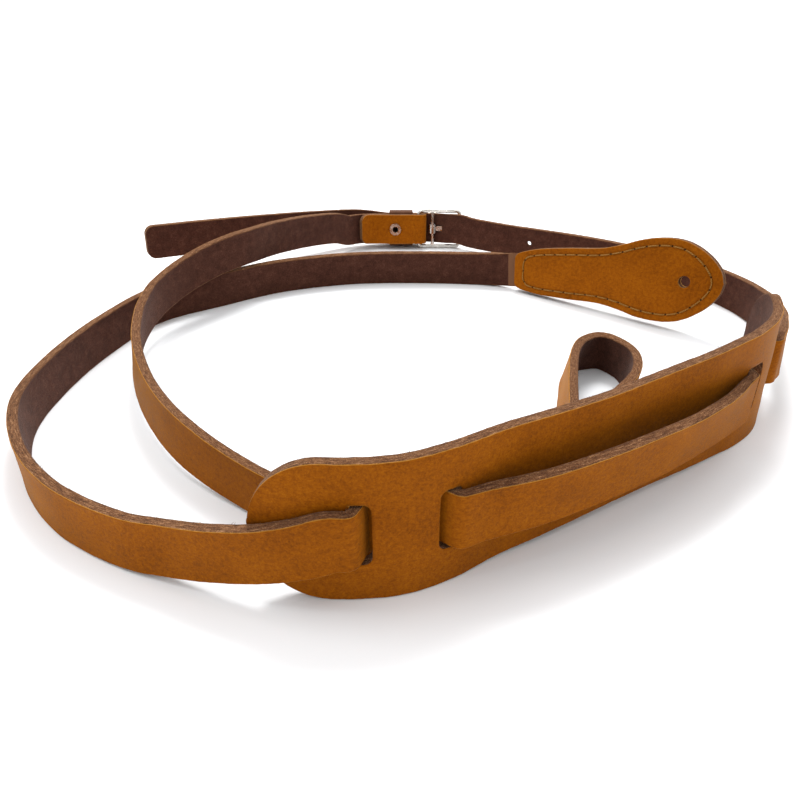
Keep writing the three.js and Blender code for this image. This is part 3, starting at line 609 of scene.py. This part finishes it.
def leaning_frame(origin, yaw, rise, lean):
    """A frame along the strap, up its width and out to its right, leaning outward."""
    yaw, rise, lean = (math.radians(angle) for angle in (yaw, rise, lean))
    along = np.array([math.cos(yaw) * math.cos(rise), math.sin(yaw) * math.cos(rise), math.sin(rise)])
    upright = unit(UPRIGHT - along * along[2])
    right = np.cross(along, upright)
    up = upright * math.cos(lean) + right * math.sin(lean)
    return np.array(origin, float), along, up, np.cross(along, up)


tab_frame = leaning_frame((42.1, 60.2, 9.6), -36.2, 8.6, -10.9)
buckle_frame = leaning_frame((0, 124.4, 10.7), 180, 0, 9)


def spot(frame_at, along, out, up=0.0):
    point, heading, rise, outward = frame_at
    return point + heading * along + outward * out + rise * up


def in_frame(frame_at, rows):
    """Middle line rows (along, out) in a frame, as place and up."""
    return [(spot(frame_at, a, o), frame_at[2]) for a, o in rows]


def on_edge(rows):
    """Rows (x, y, lift, lean) of a strap standing on edge, as place and up."""
    made = []
    for i, (x, y, lift, lean) in enumerate(rows):
        before, after = rows[max(i - 1, 0)], rows[min(i + 1, len(rows) - 1)]
        heading = unit([after[0] - before[0], after[1] - before[1], 0])
        outward = np.array([heading[1], -heading[0], 0])
        tip = math.radians(lean)
        up = UPRIGHT * math.cos(tip) + outward * math.sin(tip)
        rise = STRAP_WIDTH / 2 * math.cos(tip) + LEATHER / 2 * abs(math.sin(tip))
        made.append((np.array([x, y, lift + rise]), up))
    return made


def beside_pad(run, out, lean=0):
    place, _, up, outward = pad_frame(run)
    tip = math.radians(lean)
    return place + outward * out, up * math.cos(tip) + outward * math.sin(tip)


def through_slot(slot, side):
    """Rows of the strap's dive through a slot, from one side of the pad to the other."""
    run, _, turn, aside = slot
    turn = math.radians(turn)
    half_straight = (PASS - PASS_RADIUS * (1 - math.cos(turn))) / math.sin(turn)
    start = PASS_RADIUS * math.sin(turn) + half_straight * math.cos(turn)
    rows = [(-start + PASS_RADIUS * math.sin(turn * share),
             PASS - PASS_RADIUS * (1 - math.cos(turn * share))) for share in (0, 0.33, 0.67, 1)]
    rows += [(-a, -o) for a, o in rows[::-1]]
    return [beside_pad(run + aside + a, o * side) for a, o in rows]


STATION_PITCH = 1.0
STATION_BEND = 2.5  # degrees
LEAN_PASSES = 5


def strap_line(rows):
    """Close stations along the rows; the lean is eased from row to row."""
    places = np.array([row[0] for row in rows])
    ups = np.array([row[1] for row in rows])
    chords = np.diff(places, axis=0)
    headings = unit(np.vstack([chords[:1], unit(chords[:-1]) + unit(chords[1:]), chords[-1:]]))
    counts = []
    for i, chord in enumerate(chords):
        turn = math.degrees(math.acos(np.clip(headings[i] @ headings[i + 1], -1, 1)))
        counts.append(max(1, math.ceil(np.linalg.norm(chord) / STATION_PITCH),
                          math.ceil(turn / STATION_BEND)))
    line, spans, shares = smooth_line(places, counts)
    blend = shares[:, None]
    up = ups[spans] * (1 - blend) + ups[spans + 1] * blend
    for _ in range(LEAN_PASSES):
        up[1:-1] = (up[:-2] + 2 * up[1:-1] + up[2:]) / 4
    return stations(line, up)


def rounded_end(line, corner):
    """Half widths of a strap whose last corners are rounded."""
    short = np.maximum(0, corner - (line["run"][-1] - line["run"]))
    return STRAP_WIDTH / 2 - (corner - np.sqrt(np.maximum(0, corner ** 2 - short ** 2)))


def closer_end(line, corner):
    """Adds the stations that a rounded end needs."""
    last = line["run"][-1]
    keep = line["run"] < last - corner - 0.3
    back = corner * (1 - np.sin(np.radians(np.linspace(0, 90, 14))))
    made = {}
    for key, values in line.items():
        if key == "run":
            made[key] = np.concatenate([values[keep], last - back])
        elif key == "point":
            made[key] = np.vstack([values[keep], values[-1] - line["along"][-1] * back[:, None]])
        else:
            made[key] = np.vstack([values[keep], np.tile(values[-1], (len(back), 1))])
    return made


# Rows (x, y, lift, lean) along the table, in millimetres and degrees. Many rows of OUTER_LOOP,
# INNER_LOOP and SCROLL_LOOP, and the tab's angles, were fitted by another program, and some
# were adjusted afterwards. They are not worked out from the sizes above.
OUTER_LOOP = [
    (37.5, 62.6, 0.8, 6), (31, 64.9, 0.4, 2), (18, 66.9, 0, -2), (-1, 68, 0, -4),
    (-38, 66.5, 0, -6), (-72.5, 56, 0, -5), (-98, 39.2, 0, -2), (-121.7, 20.3, 0, -2),
    (-133.3, -9, 0, 0), (-139, -42, 0, 0), (-137.7, -71.3, 0, 0), (-125.6, -97, 0, 0),
    (-107.4, -117.2, 0, -3), (-85.1, -130.6, 0.4, -4), (-71.9, -135.4, 1.9, -3),
    (-60, -139.6, 4.2, 0), (-48, -142.7, 6.8, 1), (-38, -144.1, 9.6, 0),
]
BOW = [  # distance along the pad, distance out from it, lean
    (56, 4.2, 2), (64, 6, 4), (73.5, 7.2, 5), (91.5, 8.1, 6), (108, 8.4, 7), (119, 8.4, 8),
    (128, 7.6, 9), (137, 6.5, 8), (144, 5.4, 6), (150, 4.3, 2),
]
RIGHT_BEND = [
    (113.8, -51.6, 12.2, -6), (117.5, -45.5, 11.3, -4), (123.4, -34, 9.3, -2),
    (129.7, -21.2, 6.9, 0), (135.4, -6.5, 4.1, 0), (139.4, 6, 1.9, 0), (140.5, 17, 0.8, 0),
    (138.8, 31, 0.1, 0), (131.3, 48, 0, 0), (114, 68, 0, 0), (97.1, 82.3, 0, 0),
    (88, 88.4, 0.1, 1), (74, 95.8, 0.4, 2), (59, 102.2, 0.8, 4), (44, 108.6, 1.2, 5),
    (33, 113.8, 1.7, 6), (24.2, 118.3, 2.2, 7),
]
TONGUE = [
    (-38, 128, 4.2, 8), (-60, 116.5, 6.6, 6), (-85, 99.5, 9.5, 4), (-110, 81.5, 12.2, 2),
    (-138, 64, 14, 0),
]
slot_1, slot_2, slot_3, slot_4 = SLOTS
long_rows = (
    in_frame(tab_frame, [(TUCKED, 0), (TUCKED / 2, 0), (2, 0), (-1.5, 0)])
    + on_edge(OUTER_LOOP)
    + [beside_pad(slot_1[0] - 6, PASS)] + through_slot(slot_1, 1)
    + [beside_pad((slot_1[0] + slot_2[0]) / 2, -PASS)] + through_slot(slot_2, -1)
    + [beside_pad(*row) for row in BOW]
    + through_slot(slot_3, 1) + [beside_pad((slot_3[0] + slot_4[0]) / 2, -PASS - 0.4)]
    + through_slot(slot_4, -1)
    + on_edge(RIGHT_BEND)
    + in_frame(buckle_frame, [
        (FRONT, -(WIRE + LEATHER) / 2 - GAP - 0.1), ((FRONT + PRONG_BAR) / 2, 0.6), (PRONG_BAR, 4.2),
        (HEEL, 6.2), (KEEPER_START, OVER_OFFSET), (KEEPER_END, OVER_OFFSET),
    ])
    + on_edge(TONGUE)
)
long_line = closer_end(strap_line(long_rows), TONGUE_CORNER)
skived = np.clip((long_line["run"] - TUCKED - SKIVE_START) / SKIVE_LENGTH, 0, 1)
long_skins = (SKIVED + (LEATHER - SKIVED) * skived) / 2


def nearest(line, x, y):
    """The frame of the strap's point closest to a place on the table."""
    i = int(np.argmin(np.hypot(line["point"][:, 0] - x, line["point"][:, 1] - y)))
    return tuple(line[key][i] for key in ("point", "along", "up", "out"))


def prong_slot():
    """The slanting room that the prong needs in the strap."""
    tail = spot(buckle_frame, *PRONG_TAIL)
    tip = spot(buckle_frame, *PRONG_TIP)
    along = unit(tip - tail)
    out = np.cross(along, buckle_frame[2])
    length = np.linalg.norm(tip - tail)
    middle = ((tip + tail) / 2, along, buckle_frame[2], out)
    outline = oblong(length, PRONG_SLOT_WIDTH, PRONG_SLOT_CORNER)
    return hole_cutter(middle, outline, PRONG_SLOT_THICK / 2, seed=9)


def loose(line, tight):
    """How freely the cut edges flare: not where the strap is held (place, reach)."""
    free = np.ones(len(line["run"]))
    for place, reach in tight:
        away = np.linalg.norm(line["point"] - place, axis=1) - reach
        free = np.minimum(free, np.clip(away / FLARE_EASE, 0, 1))
    return FLARE * free


held = [(pad_frame(slot[0])[0], 6) for slot in SLOTS]
held += [(spot(buckle_frame, 8, 0), 30), (tab_frame[0], 4)]
long_halves = rounded_end(long_line, TONGUE_CORNER)
bared = np.clip((TUCKED + BARED - long_line["run"]) / BARED_EASE, 0, 1)
long_strap = leather_wall("long_strap_leather", long_line, long_halves, long_skins, seed=1,
                          flare=loose(long_line, held), pared=bared)
punched(long_strap, [
    hole_cutter(nearest(long_line, *FREE_HOLE), circle(HOLE_RADIUS), 4, seed=8),
    prong_slot(),
])
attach(long_strap, "root")
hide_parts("long_strap")
fibres("long_strap_fibres", long_line, long_halves, long_skins, 32)

# ---------------------------------------------------------------- buckle strap
# The second strap is folded round the buckle's heel bar and riveted, crosses over the long
# strap, runs behind the pad and turns back on itself, flesh to flesh, as the scroll loop.
FOLD_RADIUS = WIRE / 2 + GAP + LEATHER / 2
LAYER_OFFSET = 2.4
RIVET_ALONG = 17.6
RIVET_TUBE = 2.1
LOOP_RIVET = (30, -97.5)
SHAFT_RADIUS = 1.6
INNER_LOOP = [
    (-49.8, 109.2, 7.4, -1), (-62.7, 89.7, 11.8, -4), (-75, 68.6, 15.2, -5), (-79.6, 59.6, 16.3, -5),
    (-85.5, 49.1, 17.1, -5), (-92.4, 40.2, 17, -6), (-99.8, 32.2, 15.6, -6), (-107.2, 23, 13.3, -6),
    (-112.4, 12.2, 11.3, -6), (-115.2, 0, 9.9, -6), (-115.5, -12, 8.7, -8), (-114.3, -23.5, 7.6, -10),
    (-107.3, -47, 6.2, -8), (-94.8, -71.2, 4.3, -7), (-78.5, -92, 3, -6), (-57.5, -109.1, 0.8, -1),
    (-42, -119, 0, 0), (-27, -125.5, 0, 0), (-12, -126.3, 0, 0), (3, -120, 0, 0),
    (17, -109.5, 0, 0), (30, -97.5, 0, 0), (38.8, -88, 0, 0),
]
SCROLL_LOOP = [
    (46.4, -78.6, 0, 0), (56, -67.3, 0, 3), (64.6, -55.4, 0, 5), (68.8, -41.5, 0, 3),
    (67.4, -31.7, 0, -7), (61.6, -24.6, 0, -14), (53.6, -27, 0, -16), (48.5, -35, 0, -11),
    (44.7, -47.5, 0, -8), (41.4, -61.3, 0, -9), (38.4, -75.5, 0, -10), (36.9, -82.8, 0, -5),
    (33, -89.2, 0, 0), (27.5, -94.9, 0, 0), (22.1, -99.9, 0, 0),
]
fold = [(HEEL - FOLD_RADIUS * math.cos(math.radians(a)), -FOLD_RADIUS * math.sin(math.radians(a)))
        for a in (90, 60, 30, 0, -30, -60, -90)]
buckle_rows = (
    in_frame(buckle_frame, [(36.9, -5), (32.8, -2.4), (28, -1.8), (KEEPER_END, -LAYER_OFFSET),
                            (KEEPER_START, -LAYER_OFFSET)] + fold
             + [(KEEPER_START, LAYER_OFFSET), (KEEPER_END, LAYER_OFFSET), (28, 1.9), (33, 1.3),
                (37.2, -0.3), (40.8, -3), (44.2, -7)])
    + on_edge(INNER_LOOP) + on_edge(SCROLL_LOOP)
)
flap_last = [(place, -up) for place, up in buckle_rows[::-1]]
buckle_line = closer_end(strap_line(flap_last), TONGUE_CORNER)
buckle_halves = rounded_end(buckle_line, TONGUE_CORNER)
held = [(spot(buckle_frame, 14, 0), 28), (np.array([*LOOP_RIVET, STRAP_WIDTH / 2]), 16)]
buckle_strap = leather_wall("buckle_strap_leather", buckle_line, buckle_halves, LEATHER / 2, seed=2,
                            flare=loose(buckle_line, held))
loop_point, *loop_axes = nearest(strap_line(on_edge(INNER_LOOP)), *LOOP_RIVET)
loop_rivet_frame = (loop_point - loop_axes[2] * (LEATHER + GAP) / 2, *loop_axes)
fold_rivet_frame = (spot(buckle_frame, RIVET_ALONG, 0), *buckle_frame[1:])
punched(buckle_strap, [
    hole_cutter(fold_rivet_frame, circle(RIVET_TUBE + GAP), 5, seed=6),
    hole_cutter(loop_rivet_frame, circle(SHAFT_RADIUS + GAP), 5, seed=7),
])
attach(buckle_strap, "root")
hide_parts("buckle_strap")
fibres("buckle_strap_fibres", buckle_line, buckle_halves, LEATHER / 2, 33)

# ---------------------------------------------------------------- pin tab
# Two leaves cut to the same outline, flesh to flesh with the strap's thinned end between
# them, sewn all round by hand. The broad end has the round hole for the instrument's pin.
LEAF = 2.2
POCKET_LENGTH = 26
POCKET_DEPTH = 0.65
POCKET_MOUTH = 5  # how far the tool for the pocket starts before the tab
POCKET_CORNER = 0.3
TAB_LENGTH = 95
PIN_ALONG = 79.5
PIN_HOLE = 5
NARROWEST = 0.4  # half width of a leaf at its very end
TAB_OUTLINE = [
    (0, 6.4), (0.9, 7.7), (2.6, 8.6), (11, 10.5), (27, 11.7), (43, 12.4), (52, 14.3), (60, 16.6),
    (67, 17.6), (74, 17.6), (80, 16.2), (85.5, 13.3), (89, 10.6), (92, 7.4), (94, 4.2),
    (TAB_LENGTH, 0),
]
tab_edge, _, _ = smooth_line([(a, h, 0) for a, h in TAB_OUTLINE], [24] * (len(TAB_OUTLINE) - 1))


def tab_half(along):
    return float(np.interp(along, tab_edge[:, 0], tab_edge[:, 1]))


# The line of stitching, (along, half width); it is the same on both sides of the middle.
STITCH_LINE = [
    (4.6, 0), (4.8, 4), (6.4, 6.3), (11, 7.6), (27, 8.7), (43, 9.3), (52, 11), (60, 13.3),
    (67, 14.4), (73.5, 14.4), (79, 13), (83.5, 10.2), (87, 6.9), (89.6, 3.3), (90.5, 0),
]
STITCH = 5.3
THREAD = 0.31
DRAWN_IN = (0.42, 0.3, 0.2, 0.17, 0.2, 0.3)  # depth of the groove from one needle hole on
GROOVE_SPREAD = 0.55
TUBE_SIDES = 8  # of a needle hole and of the thread
NEEDLE_CONE = ((0.5, 0.62), (-1.0, 0.3))  # height over the grain and radius, at either end
STITCH_STEPS = 10
STITCH_SHARE = 0.9  # of the way from hole to hole
STITCH_SUNK = -0.62  # where a stitch starts, under the grain
STITCH_RISE = 0.78
upper_seam, _, _ = smooth_line([(a, h, 0) for a, h in STITCH_LINE], [24] * (len(STITCH_LINE) - 1))
seam = np.vstack([upper_seam, (upper_seam * [1, -1, 1])[::-1][1:]])
seam_reach = distances(seam)
stitches = round(seam_reach[-1] / STITCH)


def on_seam(share):
    """Place (along, up) on the closed line of stitching, by its share of the way round."""
    reach = (share % 1) * seam_reach[-1]
    return [float(np.interp(reach, seam_reach, seam[:, k])) for k in (0, 1)]


def seam_groove(run, across):
    """How deep the grain is drawn in along the stitching, deepest at the needle holes."""
    count = stitches * len(DRAWN_IN)
    sunk = np.zeros(run.shape)
    for k in range(count):
        a, b = on_seam(k / count)
        near = (run - a) ** 2 + (across - b) ** 2
        sunk = np.maximum(sunk, DRAWN_IN[k % len(DRAWN_IN)] * np.exp(-near / GROOVE_SPREAD))
    return sunk


def tube_angles():
    return [math.radians(360 / TUBE_SIDES * m) for m in range(TUBE_SIDES)]


def tube_faces(first, steps, side):
    """The walls of a tube whose rings follow one another, and its two ends."""
    faces = []
    for k in range(steps):
        ring = first + TUBE_SIDES * k
        for m in range(TUBE_SIDES):
            n = (m + 1) % TUBE_SIDES
            faces.append([ring + m, ring + n, ring + TUBE_SIDES + n, ring + TUBE_SIDES + m][::side])
    last = first + TUBE_SIDES * steps
    faces.append(list(range(first, first + TUBE_SIDES))[::-side])
    faces.append(list(range(last, last + TUBE_SIDES))[::side])
    return faces


def needle_holes(side):
    """A tool with one small cone for each needle hole of a leaf."""
    verts, faces, hides = [], [], []
    face_at = side * (GAP / 2 + LEAF)
    for i in range(stitches):
        a, b = on_seam(i / stitches)
        first = len(verts)
        for level, radius in NEEDLE_CONE:
            for angle in tube_angles():
                along, up = a + radius * math.cos(angle), b + radius * math.sin(angle)
                verts.append(spot(tab_frame, along, face_at + side * level, up))
                hides.append((along, up, level))
        for m in range(TUBE_SIDES):
            n = (m + 1) % TUBE_SIDES
            faces.append([first + m, first + TUBE_SIDES + m,
                          first + TUBE_SIDES + n, first + n][::side])
        faces.append(list(range(first, first + TUBE_SIDES))[::side])
        faces.append(list(range(first + TUBE_SIDES, first + 2 * TUBE_SIDES))[::-side])
    mesh = laid_out("needle", verts, faces)
    mesh.polygons.foreach_set("material_index", [2] * len(faces))
    write_hide(mesh, np.array(hides, float), np.full(len(verts), -0.2))
    return cutting_tool(mesh)


tab_runs = np.concatenate([
    np.linspace(0, 3, 12)[:-1], np.linspace(3, 80, 140)[:-1],
    TAB_LENGTH - 15 * (1 - np.sin(np.radians(np.linspace(0, 88.5, 44)))),
])
tab_halves = np.array([max(tab_half(run), NARROWEST) for run in tab_runs])
for side, node in ((1, "tab_front_leaf"), (-1, "tab_back_leaf")):
    turned = (tab_frame[0], tab_frame[1], tab_frame[2] * side, tab_frame[3] * side)
    middle = side * (GAP / 2 + LEAF / 2)
    line = {
        "point": np.array([spot(tab_frame, run, middle) for run in tab_runs]),
        "along": np.tile(turned[1], (len(tab_runs), 1)),
        "up": np.tile(turned[2], (len(tab_runs), 1)),
        "out": np.tile(turned[3], (len(tab_runs), 1)),
        "run": tab_runs,
    }
    leaf = leather_wall(f"{node}_leather", line, tab_halves, LEAF / 2, seed=5 + side, face=56,
                        dent=seam_groove)
    pin = (spot(tab_frame, PIN_ALONG, 0), *turned[1:])
    pocket_middle = (spot(tab_frame, (POCKET_LENGTH - POCKET_MOUTH) / 2, 0), *turned[1:])
    outline = oblong(POCKET_LENGTH + POCKET_MOUTH, STRAP_WIDTH + 3 * GAP, POCKET_CORNER)
    pocket = hole_cutter(pocket_middle, outline, POCKET_DEPTH + GAP, seed=8)
    punched(leaf, [hole_cutter(pin, circle(PIN_HOLE / 2), 5, seed=4), needle_holes(side), pocket])
    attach(leaf, "root")
    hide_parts(node)
    fibres(f"{node}_fibres", line, tab_halves, LEAF / 2, 34 + side, 0.8)

# waxed thread, laid in short stitches from hole to hole on both faces of the tab
thread, tree, surface, hide, _ = leather_finish("waxed thread", 0.1, (1.0, 0.8, 0.5), 0.25)
plies = add(tree, "ShaderNodeTexWave", {"Vector": hide, "Scale": 0.55, "Distortion": 0.6},
            wave_type="BANDS", bands_direction="DIAGONAL").outputs["Fac"]
ochre = ramp(tree, plies, [
    (0.0, (0.13, 0.045, 0.004)), (0.5, (0.31, 0.130, 0.012)), (1.0, (0.42, 0.20, 0.03)),
])
finish_surface(tree, surface, ochre, grey(tree, plies, 0, 1, 0.5, 0.7), plies, 0.12, 1.0)
verts, faces, hides = [], [], []
for side in (1, -1):
    for i in range(stitches):
        first = len(verts)
        for k in range(STITCH_STEPS + 1):
            share = k / STITCH_STEPS
            reach = i + (1 - STITCH_SHARE) / 2 + STITCH_SHARE * share
            a, b = on_seam(reach / stitches)
            a2, b2 = on_seam((reach + 0.02) / stitches)
            lift = STITCH_SUNK + STITCH_RISE * min(1, 1.9 * math.sin(math.pi * share)) ** 0.6
            heading = unit([a2 - a, b2 - b])
            for m, angle in enumerate(tube_angles()):
                wide = THREAD * math.cos(angle)
                verts.append(spot(tab_frame, a - heading[1] * wide,
                                  side * (GAP / 2 + LEAF + lift + THREAD * math.sin(angle)),
                                  b + heading[0] * wide))
                hides.append(((i + share) * STITCH, 0.36 * m, side))
        faces += tube_faces(first, STITCH_STEPS, side)
mesh = laid_out("tab_stitching", verts, faces)
mesh.polygons.foreach_set("use_smooth", [True] * len(faces))
write_hide(mesh, np.array(hides, float), np.zeros(len(verts)))
mesh.materials.append(thread)
stitching = bpy.data.objects.new("tab_stitching", mesh)
bpy.context.scene.collection.objects.link(stitching)
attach(stitching, "root")

# ---------------------------------------------------------------- keeper
# A narrow band of the same leather, closed round the free end and the outer layer of the
# fold, which keeps the long strap against the buckle strap. Its dark flesh side is outside.
KEEPER_WALL = 1.2
KEEPER_ROUND = 1
KEEPER_STEP = 0.8
keeper_half_out = (OVER_OFFSET + LEATHER / 2 + GAP + KEEPER_WALL / 2) / 2
keeper_half_up = STRAP_WIDTH / 2 + GAP + KEEPER_WALL / 2
keeper_middle = spot(buckle_frame, (KEEPER_START + KEEPER_END) / 2, keeper_half_out)
band = np.array(oblong(2 * keeper_half_out, 2 * keeper_half_up, KEEPER_ROUND, steps=8))
longer = []
for a, b in zip(band, np.roll(band, -1, 0)):
    steps = max(1, math.ceil(np.linalg.norm(b - a) / KEEPER_STEP))
    longer += [a + (b - a) * k / steps for k in range(steps)]
band = np.array(longer + [longer[0]])
around_keeper = np.gradient(band, axis=0)
around_keeper[0] = around_keeper[-1] = band[1] - band[-2]
heading = unit(around_keeper[:, :1] * buckle_frame[3] + around_keeper[:, 1:] * buckle_frame[2])
ring_up = np.tile(-buckle_frame[1], (len(band), 1))
keeper_line = {
    "point": keeper_middle + band[:, :1] * buckle_frame[3] + band[:, 1:] * buckle_frame[2],
    "along": heading, "up": ring_up, "out": np.cross(heading, ring_up),
    "run": distances(band),
}
keeper = leather_wall("keeper_leather", keeper_line, (KEEPER_END - KEEPER_START) / 2, KEEPER_WALL / 2,
                      seed=11, rough=0.0, wavy=0.0)
punched(keeper, [hole_cutter(fold_rivet_frame, circle(RIVET_TUBE + GAP), 2, seed=12)])
keeper.data.materials[0] = flesh
keeper.data.materials[2] = grain
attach(keeper, "root")
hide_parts("keeper_loop")

# ---------------------------------------------------------------- hardware
# The buckle, its prong, the eyelet through the fold and the loop's rivet stay as they were
# turned and bent, in nickel plate that is a little worn.
nickel, tree, surface = new_material("nickel plate")
surface.inputs["Metallic"].default_value = 1
place = add(tree, "ShaderNodeTexCoord").outputs["Object"]
smudge = noise(tree, place, 260, 4, 0.6)
tree.links.new(ramp(tree, smudge, [(0.3, (0.50, 0.47, 0.43)), (0.7, (0.78, 0.75, 0.71))]),
               surface.inputs["Base Color"])
tree.links.new(grey(tree, smudge, 0.3, 0.7, 0.16, 0.34), surface.inputs["Roughness"])
for node in ("buckle_frame", "buckle_prong", "fold_rivet", "loop_rivet"):
    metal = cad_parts[node]
    metal.data.materials.clear()
    metal.data.materials.append(nickel)
    metal.data.polygons.foreach_set("use_smooth", [True] * len(metal.data.polygons))
    metal.data.set_sharp_from_angle(angle=math.radians(38))

# ---------------------------------------------------------------- table and light
# A plain white table. The light is soft: from above and behind, with less from the front.
TABLE_REACH = 30  # metres
floor_mesh = bpy.data.meshes.new("table")
floor_mesh.from_pydata([(x * TABLE_REACH, y * TABLE_REACH, 0)
                        for x, y in ((-1, -1), (1, -1), (1, 1), (-1, 1))], [], [(0, 1, 2, 3)])
table = bpy.data.objects.new("table", floor_mesh)
bpy.context.scene.collection.objects.link(table)
white, _, surface = new_material("table white")
surface.inputs["Base Color"].default_value = (0.885, 0.90, 0.915, 1)
surface.inputs["Roughness"].default_value = 0.9
floor_mesh.materials.append(white)
sky = bpy.data.worlds.new("studio")
sky.use_nodes = True
backdrop = sky.node_tree.nodes["Background"]
backdrop.inputs["Color"].default_value = (1, 1, 1, 1)
toward = add(sky.node_tree, "ShaderNodeTexCoord").outputs["Generated"]
high = add(sky.node_tree, "ShaderNodeVectorMath", {0: toward, 1: (0, 0.45, 0.75)},
           operation="DOT_PRODUCT").outputs["Value"]
sky.node_tree.links.new(grey(sky.node_tree, high, -0.3, 0.7, 0.45, 1.38),
                        backdrop.inputs["Strength"])
bpy.context.scene.world = sky


def lamp(name, place, target, size, power):
    """A soft square lamp that points at a place."""
    light = bpy.data.lights.new(name, "AREA")
    light.size = size
    light.energy = power
    holder = bpy.data.objects.new(name, light)
    bpy.context.scene.collection.objects.link(holder)
    holder.location = place
    holder.rotation_euler = (Vector(target) - Vector(place)).to_track_quat("-Z", "Y").to_euler()


lamp("window", (0.05, 0.55, 1.05), (0, 0, 0), 0.36, 10)
lamp("ceiling", (-0.55, 0.05, 1.1), (0, 0, 0), 0.5, 3)
bpy.context.scene.view_settings.view_transform = "Standard"
